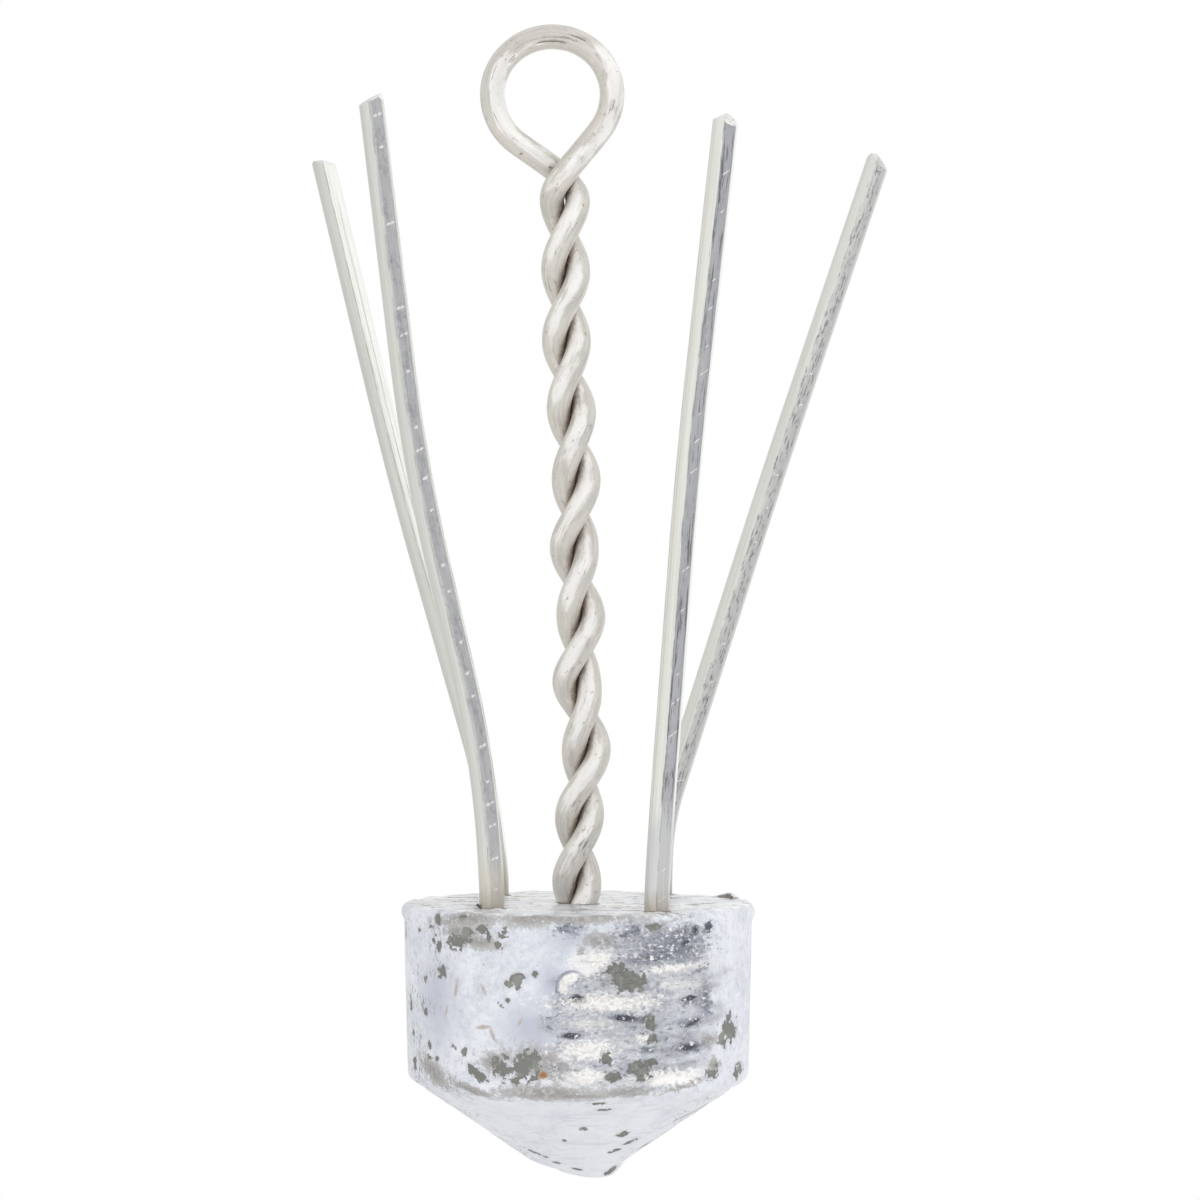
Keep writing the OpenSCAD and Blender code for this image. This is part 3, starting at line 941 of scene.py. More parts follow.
# Bubble: its height, its edge and top, the moat round it, its crescent of painted highlight and its ring of
# painted shade, and the light on them
BUBBLE_R = 1.15
BUBBLE_H = 0.4
BUBBLE_TOP_R = 0.35
MOAT_DEPTH = 0.1
MOAT = (1.1 * BUBBLE_R, 0.4)
CRESCENT = (0.58 * BUBBLE_R, 0.52)
CRESCENT_GAIN = 2.0
CRESCENT_DROP = 0.5
RING = (1.05 * BUBBLE_R, 0.24)
RING_UNLIT = 0.35
LIT_WAY = Vector((-0.8, 0.0, 0.6))
LIT_SHARES = (-0.35, 0.5)
# Pit, and the crease below the wall: their depths, and the pit's edge and bottom
PIT_DEPTH = 0.45
PIT_EDGE = (0.62, 0.1)
CREASE_DEPTH = 0.09
CREASE_DOWN = BODY_H + 0.75
CREASE_HALF = 0.3
# Pouring face: how upright its normals are, its ripples' sizes, heights and fineness, and its sunk middle
FACE_NORMAL = 0.6
FACE_LOOK = (0.8, 0.97)
RIPPLE_SIZES = (5.0, 1.3)
RIPPLES = ((0.09, 1.0), (0.045, 3.1))
SUNK_DEPTH = 0.12
SUNK_R = (11.0, 4.0)
MENISCUS_REACH = 0.55
MENISCUS_H = 0.12
ROOT_LINE = (WIRE_R + 0.12, 0.26)
LUMP_DARKNESS = 1.3
# Small lumps of lead by the roots: the claw, the way off its middle, the half size, the height and darkness
LUMPS = (
    ("front_left", (-1.15, -0.45), 0.3, 0.66, 1.0),
    ("front_left", (0.55, -1.4), 0.8, 0.2, 0.0),
    ("front_right", (0.3, -1.45), 0.75, 0.16, 0.0),
)
# Wrinkles in the poured face, painted as dark lines of shade: where each starts and ends across, how far back
# it lies, its half width and its strength
WRINKLES = (
    (-2.6, 5.2, -7.6, 0.9, 0.8),
    (6.5, 9.5, 4.0, 0.9, 0.7),
    (7.5, 11.0, -1.5, 0.8, 0.65),
    (-10.5, -7.6, 2.5, 0.8, 0.7),
    (-9.0, -5.5, -3.0, 0.7, 0.6),
)
WRINKLE_END = 0.5
# Rim: where it starts and waves, where its lip is worn off, its torn piece at the back right with the dip
# inside it and its line of painted shade, and the two flashes that the mould's halves left
RIM_REACH = (12, 14)
RIM_WAVES_R = (12.6, 14.0)
RIM_WAVES_DOWN = (2.0, 0.6)
WORN_LIP = (-92.0, 110.0)
WORN_LIP_DOWN = (0.5, LIP_H)
TORN = (24.0, 12.0)
TORN_R = 13.5
TORN_DOWN = (2.4, 0.4)
TORN_EDGE = (TORN_R - 0.25, TORN_R + 0.2)
TORN_H = 0.36
TORN_DIP = (12.8, 0.8)
TORN_DIP_DEPTH = 0.25
TORN_LINE = (TORN_R - 0.1, 0.3)
TORN_LINE_DOWN = (0.3, 0.0)
TORN_DARKNESS = 1.6
FLASH_DEGREES = (-6.0, 186.0)
FLASH_H = 0.08
FLASH_HALF = 14.0
FLASH_DOWN = (0.9, 0.5)
# Nose: where its tip is pushed sideways and its end slants
NOSE_FROM = 20.6
NOSE_PUSH = 0.75
NOSE_PUSH_R = (0.0, 0.8)
NOSE_SLANT = 0.28
NOSE_SLANT_X = (0.8, -2.2)
# Specks of painted reflection: on the flanks, as shares of the radius, and along the left of the shoulder
FLECKED_SIDES = (0.62, 0.9)
FLECKED_FROM_R = 0.5
FLECKED_ALL_ROUND = BODY_H + 1.0
FLECKED_SHOULDER = (BODY_H, 2.6)
FLECKED_SHOULDER_X = (-6.0, -11.0)
FLECKED_PATCHES = (-0.35, 0.25)
FLECKED_TOP = (0.5, 1.5)
CONE_TOP = (BODY_H + 0.4, BODY_H + 1.2)


def lead_outline_mesh():
    """Half the casting's outline, with rounded corners, in rows fine enough to carry its marks."""
    bm = bmesh.new()
    corners = (
        (0.0, 0.0, 0.0),
        (LIP_R, 0.0, RIM_ROUND),
        (LIP_R, LIP_H, 0.0),
        (BODY_R, LIP_FADE, 0.0),
        (SHOULDER_R, BODY_H, SHOULDER_ROUND),
        (TIP_R, NOSE_DEPTH, TIP_ROUND),
        (0.0, NOSE_DEPTH, 0.0),
    )
    verts = [bm.verts.new((radius, 0, -down)) for radius, down, _ in corners]
    for before, after in zip(verts, verts[1:]):
        bm.edges.new((before, after))
    ways = [(b.co - a.co).normalized() for a, b in zip(verts, verts[1:])]
    for n, (_, _, rounding) in enumerate(corners):
        if rounding:
            reach = rounding * math.tan(ways[n - 1].angle(ways[n]) / 2)
            bmesh.ops.bevel(
                bm,
                geom=[verts[n]],
                offset=reach,
                segments=CORNER_STEPS,
                profile=0.5,
                affect="VERTICES",
                material=-1,
            )
    for edge in bm.edges[:]:
        down = -(edge.verts[0].co.z + edge.verts[1].co.z) / 2
        if down < FLAT_DEPTH:
            step = ROWS_FACE
        elif down < BODY_H + SHOULDER_ROUND:
            step = ROWS_WALL
        else:
            step = ROWS_CONE
        cuts = round(edge.calc_length() / step) - 1
        if cuts > 0:
            bmesh.ops.subdivide_edges(bm, edges=[edge], cuts=cuts)
    return bm


def wall_relief(place, down, flow, bubble_at, pit_at):
    """How far the wall stands out, in mm: casting waves, cold-run ridges, bubble, pit and crease."""
    out = waves(place, *WALL_WAVES) + waves(place, *WALL_GRAIN)
    if flow > 0:
        out += flow * (abs(waves(place, *RUN_RIDGES)) - RUN_SINK + waves(place, *RUN_GRAIN))
    bubble = (place - bubble_at).length
    out += BUBBLE_H * ease(bubble, BUBBLE_R, BUBBLE_TOP_R) - MOAT_DEPTH * hump(bubble, *MOAT)
    out -= PIT_DEPTH * ease((place - pit_at).length, *PIT_EDGE)
    out -= CREASE_DEPTH * hump(down, CREASE_DOWN + waves(place, *CREASE_WAVES), CREASE_HALF)
    if down > BODY_H:
        out += waves(place, *CONE_RINGS)
    return out


def face_relief(place, radius, roots, lumps):
    """How high the open-poured face stands, in mm: ripples, a sunk middle and lead drawn up to each wire."""
    ripple = Vector((place.x / RIPPLE_SIZES[0], place.y / RIPPLE_SIZES[1], 0.0))
    rise = waves(place, *FACE_WAVES) + sum(high * noise.noise(fine * ripple) for high, fine in RIPPLES)
    rise -= SUNK_DEPTH * ease(radius, *SUNK_R)
    nearest = min((place.to_2d() - root).length for root in roots)
    rise += MENISCUS_H * ease(nearest, WIRE_R + MENISCUS_REACH, WIRE_R)
    for centre, half, height, _ in lumps:
        rise += height * hump((place.to_2d() - centre).length, 0.0, half)
    return rise


def painted_face_shade(place, roots, lumps):
    """How dark the pouring face is painted: painted shade in a line round each wire and along its wrinkles,
    and a darkened lump.
    """
    flat = place.to_2d()
    dark = [hump(min((flat - root).length for root in roots), *ROOT_LINE)]
    for centre, half, _, darkness in lumps:
        dark.append(LUMP_DARKNESS * darkness * hump((flat - centre).length, 0.0, half))
    for start, end, back, half, strength in WRINKLES:
        along = ease(place.x, start - WRINKLE_END, start + WRINKLE_END)
        along *= ease(place.x, end + WRINKLE_END, end - WRINKLE_END)
        dark.append(strength * along * hump(place.y - back + waves(place, *WRINKLE_WAVES), 0.0, half))
    return max(dark)


def paint_details(bm, roots, lumps, bubble_at):
    """Stores the bubble's painted highlight and ring of painted shade, the painted shade lines of face and
    torn rim, and the specks of painted reflection on the flanks.
    """
    gleam = bm.verts.layers.float["gleam"]
    ring, line, reflection_specked, cone = (
        bm.verts.layers.float.new(name) for name in ("bubble_shade_ring", "shade_line", "reflection_specked", "cone")
    )
    for vert in bm.verts:
        place = vert.co
        radius = math.hypot(place.x, place.y)
        down = -place.z
        away = (place - bubble_at).length
        if away < 2 * BUBBLE_R:
            # The crescent is a painted highlight added to gleam; the ring is painted shade, strongest on the
            # lit side
            lit = ease((place - bubble_at).normalized().dot(LIT_WAY), *LIT_SHARES) if away > 0 else 0.0
            vert[gleam] = max(vert[gleam], CRESCENT_GAIN * hump(away, *CRESCENT) * lit - CRESCENT_DROP)
            vert[ring] = hump(away, *RING) * (RING_UNLIT + (1.0 - RING_UNLIT) * lit)
        torn = hump(math.degrees(math.atan2(place.y, place.x)), *TORN)
        # A line of painted shade inside the torn rim
        torn_line = TORN_DARKNESS * torn * hump(radius, *TORN_LINE) * ease(down, *TORN_LINE_DOWN)
        on_face = painted_face_shade(place, roots, lumps) if down < RIM_ROUND else 0.0
        vert[line] = max(on_face, torn_line)
        # Specks of painted reflection on the flanks and along the left of the shoulder
        flank = abs(place.x) if down > FLECKED_ALL_ROUND else -place.x
        low, high = FLECKED_SIDES
        side = ease(flank, low * radius, high * radius) if radius > FLECKED_FROM_R else 0.0
        shoulder = hump(down, *FLECKED_SHOULDER) * ease(place.x, *FLECKED_SHOULDER_X)
        patches = ease(waves(place, *SPECKLE_WAVES), *FLECKED_PATCHES)
        vert[reflection_specked] = max(side, shoulder) * patches * ease(down, *FLECKED_TOP)
        vert[cone] = ease(down, *CONE_TOP)


def shape_lead(bm, roots, lumps, bubble_at):
    """Moves the plain casting's vertices, so that it is as uneven as hand-poured lead."""
    flow_layer = bm.verts.layers.float["cold_run"]
    face_layer = bm.verts.layers.float.new("open_face")
    pit_at = seen_at(*PIT_PX)
    bm.normal_update()
    for vert in bm.verts:
        place = vert.co.copy()
        radius = math.hypot(place.x, place.y)
        degrees = math.degrees(math.atan2(place.y, place.x))
        down = -place.z
        on_face = vert.normal.z > FACE_NORMAL and down < RIM_ROUND
        vert[face_layer] = ease(vert.normal.z, *FACE_LOOK)
        flow = ease(vert[flow_layer] + waves(place, *RUN_EDGE_WAVES), *RUN_EDGE)
        vert[flow_layer] = flow
        if on_face:
            rise = face_relief(place, radius, roots, lumps)
            vert.co.z += rise * ease(radius, LIP_R, LIP_R - RIM_ROUND)
        else:
            flow *= ease(down, *RUN_TOP)
            vert.co += vert.normal * wall_relief(place, down, flow, bubble_at, pit_at)
        outwards = Vector((place.x, place.y, 0)).normalized() if radius > 0 else Vector()
        worn = max(min(1.0, 2 * hump(degrees, *WORN_LIP)), ease(down, *WORN_LIP_DOWN))
        worn *= ease(down, LIP_FADE, LIP_H) * ease(radius, *RIM_REACH)
        vert.co -= outwards * (LIP_R - BODY_R) * worn
        near_rim = ease(radius, *RIM_WAVES_R) * ease(down, *RIM_WAVES_DOWN)
        vert.co.z += near_rim * waves(place, *RIM_WAVES)
        torn = hump(degrees, *TORN) * ease(down, *TORN_DOWN)
        vert.co.z += torn * (TORN_H * ease(radius, *TORN_EDGE) - TORN_DIP_DEPTH * hump(radius, *TORN_DIP))
        for flash in FLASH_DEGREES:
            off = (degrees - flash + 180) % 360 - 180
            strength = hump(off, 0.0, FLASH_HALF) * hump(down, *FLASH_DOWN) * ease(radius, *RIM_REACH)
            vert.co += outwards * FLASH_H * strength
        nose = ease(down, NOSE_FROM, NOSE_DEPTH)
        vert.co.x += NOSE_PUSH * nose * ease(radius, *NOSE_PUSH_R)
        vert.co.z += NOSE_SLANT * nose * ease(place.x, *NOSE_SLANT_X)


def make_lead(material):
    """The casting: its outline spun round the axis and then worked over."""
    outline = bpy.data.meshes.new("lead_outline")
    half = lead_outline_mesh()
    half.to_mesh(outline)
    half.free()
    turned = put_in_scene("lead_outline", outline)
    screw = turned.modifiers.new("turned", "SCREW")
    screw.steps = screw.render_steps = SEGMENTS
    screw.use_merge_vertices = True
    screw.merge_threshold = MERGE
    bm = bmesh.new()
    bm.from_object(turned, bpy.context.evaluated_depsgraph_get())
    bpy.data.objects.remove(turned)
    bmesh.ops.remove_doubles(bm, verts=bm.verts, dist=MERGE)
    bmesh.ops.recalc_face_normals(bm, faces=bm.faces)
    roots = [(claw_root(claw) - AXIS).to_2d() for claw in CLAWS.values()]
    roots += [strand(STEM_H, side).to_2d() for side in (0, 180)]
    lumps = []
    for name, off, *sizes in LUMPS:
        lumps.append(((claw_root(CLAWS[name]) - AXIS).to_2d() + Vector(off), *sizes))
    bubble_at = seen_at(*BUBBLE_PX)
    paint_lead(bm)
    paint_details(bm, roots, lumps, bubble_at)
    shape_lead(bm, roots, lumps, bubble_at)
    bmesh.ops.translate(bm, verts=bm.verts, vec=FACE)
    piece = finish_mesh(bm, "lead_casting", material, "sinker")
    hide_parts("lead_body")


# Wire materials. Their patterns follow the straight attribute: millimetres on the wire before it was bent.
# Noises, in spots a mm: fine lines that the drawing die left, cloudy tone along the wire, and small specks.
# Real die lines are some hundredths of a mm apart. These are 0.2 mm apart, so that they show
WIRE_NOISES = {
    "lines": ((5.5, 5.5, 0.09), 4.0, 0.6, 0.0),
    "cloud": ((1.2, 1.2, 0.45), 4.0, 0.6, 0.0),
    "specks": ((2.8, 2.8, 1.9), 5.0, 0.75, 0.0),
}
# The values of the lines between which the wire goes from its smoothest to its roughest
ROUGH_LINES = (0.3, 0.7)

# Satin wire. A scuff brings out the noises' scratches and specks. Noises break up the painted highlight and
# the dirt and painted shade in the grooves. Textures and marks: source, the values that each fades in
# between, strength and what limits it
SATIN_SCUFFS = {"lined": ("lines", 0.13), "spotted": ("specks", 0.07)}
SATIN_EDGES = (("worn", "cloud", 3.0), ("worn", "lines", 1.6), ("crevice", "specks", 1.4))
SATIN_TEXTURES = {
    "brushed": ("lines", 0.44, 0.62, 0.55),
    "clouded": ("cloud", 0.46, 0.36, 0.5),
    "warm": ("cloud", 0.54, 0.66, 0.7),
    "scratched": ("lined", 0.64, 0.71, 0.9, "scratchy"),
    "specked": ("spotted", 0.63, 0.69, 0.75),
}
SATIN_MARKS = {
    # The painted highlight whitens the wire where worn holds it
    "painted_highlight": ("worn", 0.3, 1.05, 1.0),
    "groove_dirt_and_shade": ("crevice", 0.0, 0.75, 0.85),
    "deep_groove_dirt_and_shade": ("crevice", 0.65, 1.1, 0.85),
}
SCRATCHY_CLOUD = (0.5, 0.56)
SATIN_TONE = "DAD7D0"
SATIN_TONES = {
    "brushed": "BDB9B2",
    "clouded": "C2BEB6",
    "warm": "DCD2C4",
    "painted_highlight": "F6F4F0",
    "scratched": "77736E",
    "specked": "6E665B",
    # Grooves: brown dirt and painted shade where the strands meet
    "groove_dirt_and_shade": "A3978A",
    "deep_groove_dirt_and_shade": "685C4E",
}
SATIN_ROUGH = (0.3, 0.48)
SATIN_METAL = 0.35
SATIN_DENTS = (0.5, 0.00003)


def twisted_wire_material():
    """Satin wire with a painted highlight on its crowns, a few dark scratches, and brown dirt and painted
    shade in the twist.
    """
    material, tree = new_material("satin_steel_wire_with_dirty_twist")
    straight = add(tree, "Attribute", take="Vector", attribute_name="straight")
    masks = noises_of(tree, straight, WIRE_NOISES)
    for name in ("worn", "scuffed", "crevice"):
        masks[name] = add(tree, "Attribute", take="Fac", attribute_name=name)
    for name, (grained, strength) in SATIN_SCUFFS.items():
        masks[name] = add(tree, "Math", (masks["scuffed"], strength, masks[grained]), "MULTIPLY_ADD")
    cloudy = add(tree, "MapRange", (masks["cloud"], *SCRATCHY_CLOUD))
    masks["scratchy"] = add(tree, "Math", (cloudy, masks["scuffed"]), "MAXIMUM")
    for name, grained, strength in SATIN_EDGES:
        masks[name] = broken_up(tree, masks[name], masks[grained], strength)
    fade_in(tree, masks, SATIN_TEXTURES)
    fade_in(tree, masks, SATIN_MARKS, **SMOOTH)
    tone = layered(tree, linear(SATIN_TONE), masks, SATIN_TONES)
    rough = add(tree, "MapRange", (masks["lines"], *ROUGH_LINES, *SATIN_ROUGH))
    finish_material(tree, tone, rough, SATIN_METAL, masks["lines"], *SATIN_DENTS)
    return material


# How the claws' wires came off the coil, for most and for each. Colours: left and right of the seam that the
# rollers left, a painted reflection that paints one side lighter and the other darker, and by the lead.
# Marks:
# streaks and blots, the rollers' nicks with their step, share, half height and slant, and the seam. dull and
# rough are the surface, fade is the height in mm up to which it is dull by the lead, streak_up is how closely
# streaks follow each other, and seam_at is the seam's place
CLAW_LOOK = dict(slant=-0.3, dull=0.0, fade=5.0, seam=0.6, streak_up=0.34, seam_at=-0.06)
CLAW_LOOKS = {
    "front_left": dict(
        left="DBDBD7", right="F8F8F6", low="D6D2C8", streaks=0.15, blots=0.6, step=2.2, nicks=0.75,
        half=0.11, rough=0.2, seam=0.5, seam_at=-0.15
    ),
    "front_right": dict(
        left="E8E8E3", right="F6F6F5", low="D6D7D6", streaks=0.8, blots=0.3, step=2.6, nicks=0.6,
        half=0.055, rough=0.1, slant=-0.8, fade=9.0
    ),
    "back_left": dict(
        left="D4D4D0", right="FAFAF6", low="D2CFC6", streaks=0.1, blots=0.0, step=4.1, nicks=0.1,
        half=0.05, rough=0.14, dull=0.1
    ),
    "back_right": dict(
        left="DEDEDA", right="D2D2CF", low="CFCCC3", streaks=0.9, blots=0.5, step=3.1, nicks=0.5,
        half=0.07, rough=0.28, seam=0.45, slant=-0.6, dull=0.62, streak_up=1.1
    ),
}
ROUGH_SPAN = 0.09
CLAW_DENTS = (0.12, 0.00001)
# By the lead: the length over which streaks break up the dull end, the stain's heights and the dulling.
# Across the wire: where its right side, in the painted reflection's other tone, begins, the seam's half
# width, and the streaks with their sides
FADE_L = 3.0
STAIN_H = (2.0, 0.2)
DULL_END = -0.7
SIDES = (-0.06, 0.0)
SEAM_HALF = 0.07
STREAK_ACROSS = 6.5
STREAK_DETAIL = 4.0
STREAK_ROUGH = 0.62
STREAK_SIDES = (-0.12, 0.75)
STREAK_SOFT = 0.08
CLAW_TONES = {"blotted": "B2B3B6", "streaked": "86878A"}
CLAW_SHADE = "EDEDE9"
CLAW_STAINS = {"stained": "B9B2A5", "seamed": "8B8A86"}
# Nicks: their place and half width across the wire, how far those of a pair lie apart and which are pairs,
# their shift within their step, their raggedness, where they fade in, their strength and their colour
NICK_SIDE = 0.4
NICK_HALF_WIDE = 0.15
NICK_PAIR_HALF = 0.16
NICK_PAIRS = (0.3, 0.4)
NICK_SHIFT = (0.2, 0.8)
NICK_RAGGED = 2.4
NICK_FADE = (2.5, 1.5)
NICK_STRENGTH = 0.85
NICK_TONE = "F0F0EE"


def roller_nicks(tree, masks, look):
    """Short pale nicks across the front, single or side by side, one in some of the steps along the wire."""
    slanted = add(tree, "Math", (masks["x"], look["slant"], masks["z"]), "MULTIPLY_ADD")
    cell = add(tree, "Math", (slanted, look["step"]), "DIVIDE")
    number = add(tree, "Math", (cell,), "FLOOR")
    chance = add(tree, "TexWhiteNoise", {"W": number}, take="Value", noise_dimensions="1D")
    there = add(tree, "Math", (chance, look["nicks"]), "LESS_THAN")
    within = add(tree, "Math", (cell, number), "SUBTRACT")
    shift = add(tree, "MapRange", (chance, 0.0, 1.0, *NICK_SHIFT))
    off = add(tree, "Math", (within, shift), "SUBTRACT")
    high = add(tree, "Math", (off, look["step"] / look["half"]), "MULTIPLY")
    aside = add(tree, "Math", (masks["x"], NICK_SIDE), "SUBTRACT")
    aside = add(tree, "Math", (aside,), "ABSOLUTE")
    pair = add(tree, "MapRange", (chance, *NICK_PAIRS, 0.0, NICK_PAIR_HALF))
    aside = add(tree, "Math", (aside, pair), "SUBTRACT")
    wide = add(tree, "Math", (aside, NICK_HALF_WIDE), "DIVIDE")
    away = add(tree, "CombineXYZ", (wide, high))
    away = add(tree, "VectorMath", (away,), "LENGTH", take="Value")
    away = add(tree, "Math", (masks["specks"], NICK_RAGGED, away), "MULTIPLY_ADD")
    nick = add(tree, "MapRange", (away, *NICK_FADE, 0.0, NICK_STRENGTH))
    for limit in (there, masks["in_front"]):
        nick = add(tree, "Math", (nick, limit), "MULTIPLY")
    return nick


def claw_wire_material(name, look):
    """Bright drawn wire that mirrors the tent in one band, its sides painted in two tones as a painted
    reflection, with pale nicks, and beige where it is cast in.
    """
    material, tree = new_material(f"bright_drawn_steel_wire_{name}")
    straight = add(tree, "Attribute", take="Vector", attribute_name="straight")
    streak_scale = (STREAK_ACROSS, STREAK_ACROSS, look["streak_up"])
    noises = {**WIRE_NOISES, "streaks": (streak_scale, STREAK_DETAIL, STREAK_ROUGH, 0.0)}
    masks = noises_of(tree, straight, noises)
    masks.update(zip("xyz", add(tree, "SeparateXYZ", (straight,)).node.outputs))
    masks["in_front"] = add(tree, "Math", (masks["y"], 0.0), "GREATER_THAN")
    masks["in_band"] = window(tree, masks["x"], STREAK_SIDES, STREAK_SOFT)
    masks["in_seam"] = window(tree, masks["x"], (look["seam_at"], look["seam_at"]), SEAM_HALF)
    above = add(tree, "Attribute", take="Fac", attribute_name="above_lead")
    masks["above"] = add(tree, "Math", (masks["streaks"], FADE_L, above), "MULTIPLY_ADD")
    masks["nick"] = roller_nicks(tree, masks, look)
    textures = {
        "cloudy": ("cloud", 0.42, 0.56, 1.0),
        "painted_reflection_side": ("x", *SIDES, 1.0),
        "streaked": ("streaks", 0.53, 0.61, look["streaks"], "in_band"),
        "blotted": ("specks", 0.42, 0.66, look["blots"], "cloudy", "in_band"),
        "seamed": ("in_seam", 0.0, 1.0, look["seam"], "cloudy", "in_front"),
        "shaded": ("lines", 0.4, 0.66, 0.5),
        "stained": ("above", FADE_L / 2 + STAIN_H[0], FADE_L / 2 + STAIN_H[1], 1.0),
    }
    fade_in(tree, masks, textures)
    dull_end = {"dull_end": ("above", look["fade"] + FADE_L / 2, look["fade"] - FADE_L / 2, 1.0)}
    fade_in(tree, masks, dull_end, **SMOOTH)
    # The right side takes its own colour: the other half of the painted reflection
    tones = {"painted_reflection_side": look["right"], **CLAW_TONES, "dull_end": look["low"], "nick": NICK_TONE}
    tone = layered(tree, linear(look["left"]), masks, tones)
    shade = {0: masks["shaded"], MIX_A: tone, MIX_B: linear(CLAW_SHADE)}
    tone = add(tree, "Mix", shade, take=MIX_COLOUR, data_type="RGBA", blend_type="MULTIPLY")
    tone = layered(tree, tone, masks, CLAW_STAINS)
    kept = add(tree, "Math", (masks["dull_end"], DULL_END, 1.0), "MULTIPLY_ADD")
    metal = add(tree, "Math", (1.0 - look["dull"], masks["nick"]), "SUBTRACT", use_clamp=True)
    metal = add(tree, "Math", (metal, kept), "MULTIPLY")
    rough = add(tree, "MapRange", (masks["lines"], *ROUGH_LINES, look["rough"], look["rough"] + ROUGH_SPAN))
    finish_material(tree, tone, rough, metal, masks["lines"], *CLAW_DENTS)
    return material


# Lead noises, in spots a mm: their scales across and up, detail, roughness and how much they swirl. The
# skin's real grain is under 0.05 mm. The finest spots here are 0.3 mm wide, so that they show
LEAD_NOISES = {
    "ragged": ((1.7, 1.7, 1.7), 6.0, 0.75, 0.0),
    "cloud": ((0.26, 0.26, 0.26), 4.0, 0.6, 0.3),
    "frost": ((0.95, 0.95, 0.8), 6.0, 0.66, 0.4),
    "fine": ((3.4, 3.4, 2.6), 4.0, 0.62, 0.0),
    "runs": ((0.26, 0.26, 1.15), 4.0, 0.6, 0.4),
    "wrinkles": ((1.3, 1.3, 2.6), 7.0, 0.8, 0.1),
    "grit": ((1.5, 1.5, 1.7), 7.0, 0.82, 0.0),
    "flecks": ((3.0, 3.0, 0.9), 5.0, 0.7, 0.0),
    "glints": ((2.3, 2.3, 3.3), 4.0, 0.62, 0.2),
    "rings": ((0.22, 0.22, 2.4), 5.0, 0.66, 0.0),
    "ripples": ((0.16, 0.6, 0.16), 6.0, 0.62, 0.3),
}

# Edges of marks: for each mark, the noise that breaks its edge up, how strongly, and where it fades in
MARK_EDGES = {
    "chip": ("ragged", 1.8, 0.13, 0.2),
    "dark_run_reflection": ("wrinkles", 3.6, 0.0, 0.7),
    "bright_run_highlight": ("glints", 4.0, -0.3, 0.4),
    "smudge_and_shade": ("grit", 4.2, -0.1, 0.5),
    "shade": ("cloud", 1.6, -0.3, 0.9),
    "pit": ("glints", 3.4, -0.05, 0.35),
    "gleam": ("glints", 3.6, -0.05, 0.4),
    "rust": ("ragged", 1.8, 0.1, 0.5),
    "scratch": ("frost", 1.8, 0.0, 0.5),
    "bubble_shade_ring": ("frost", 0.9, 0.2, 0.9),
    "shade_line": ("fine", 1.6, 0.35, 0.7),
}
# Chips also have straight edges, because the skin comes off in flakes, here about 0.4 mm wide
FLAKE_SCALE = 2.3
FLAKE_STRENGTH = 0.9

# Finer textures: for each, its source, the values that it fades in between, its strength and what limits it.
# A halo is the dirt round a chip, and the lines of the face lie where its ripples are in the middle
LEAD_TEXTURES = {
    "halo": ("in_chip", -0.5, 0.15, 0.55, "grit"),
    "pale": ("cloud", 0.42, 0.6, 1.0),
    "frosted": ("frost", 0.52, 0.66, 0.7),
    "greyed": ("frost", 0.46, 0.34, 0.5),
    "flecked": ("fine", 0.67, 0.71, 0.6),
    "gritty": ("grit", 0.52, 0.6, 0.45),
    "gritty_light": ("grit", 0.48, 0.42, 0.5),
    # Specks of painted reflection on the flanks
    "speckles": ("fine", 0.57, 0.62, 0.85, "reflection_specked"),
    "speckles_large": ("flecks", 0.58, 0.62, 0.9, "reflection_specked"),
    "cone_pale": ("cloud", 0.3, 0.5, 0.7, "cone"),
    "ringed": ("rings", 0.54, 0.62, 0.4, "cone"),
    "smudge_dark": ("grit", 0.49, 0.44, 0.7, "smudge_and_shade"),
    "smudge_light": ("grit", 0.52, 0.58, 0.7, "smudge_and_shade"),
    "run_shade": ("runs", 0.42, 0.6, 0.8, "cold_run"),
    # run_dark and run_light: painted dark reflections and highlights of the cold run's wrinkles
    "run_dark": ("wrinkles", 0.45, 0.37, 0.75, "cold_run"),
    "run_light": ("wrinkles", 0.53, 0.6, 0.9, "cold_run"),
    # run_deep: painted dark specks; run_glint and run_spark: painted glints
    "run_deep": ("glints", 0.46, 0.38, 0.9, "dark_run_reflection"),
    "run_glint": ("glints", 0.56, 0.62, 1.0, "dark_run_reflection"),
    "run_spark": ("glints", 0.66, 0.7, 0.9, "cold_run"),
    "face_pale": ("ripples", 0.6, 0.46, 0.95, "open_face"),
    "line_breaks": ("frost", 0.45, 0.53, 1.0),
    "face_lines": ("off_middle", 0.03, 0.006, 1.0, "line_breaks", "open_face"),
    "chip_light": ("frost", 0.52, 0.6, 0.7, "chip"),
}
NOISE_MIDDLE = 0.5

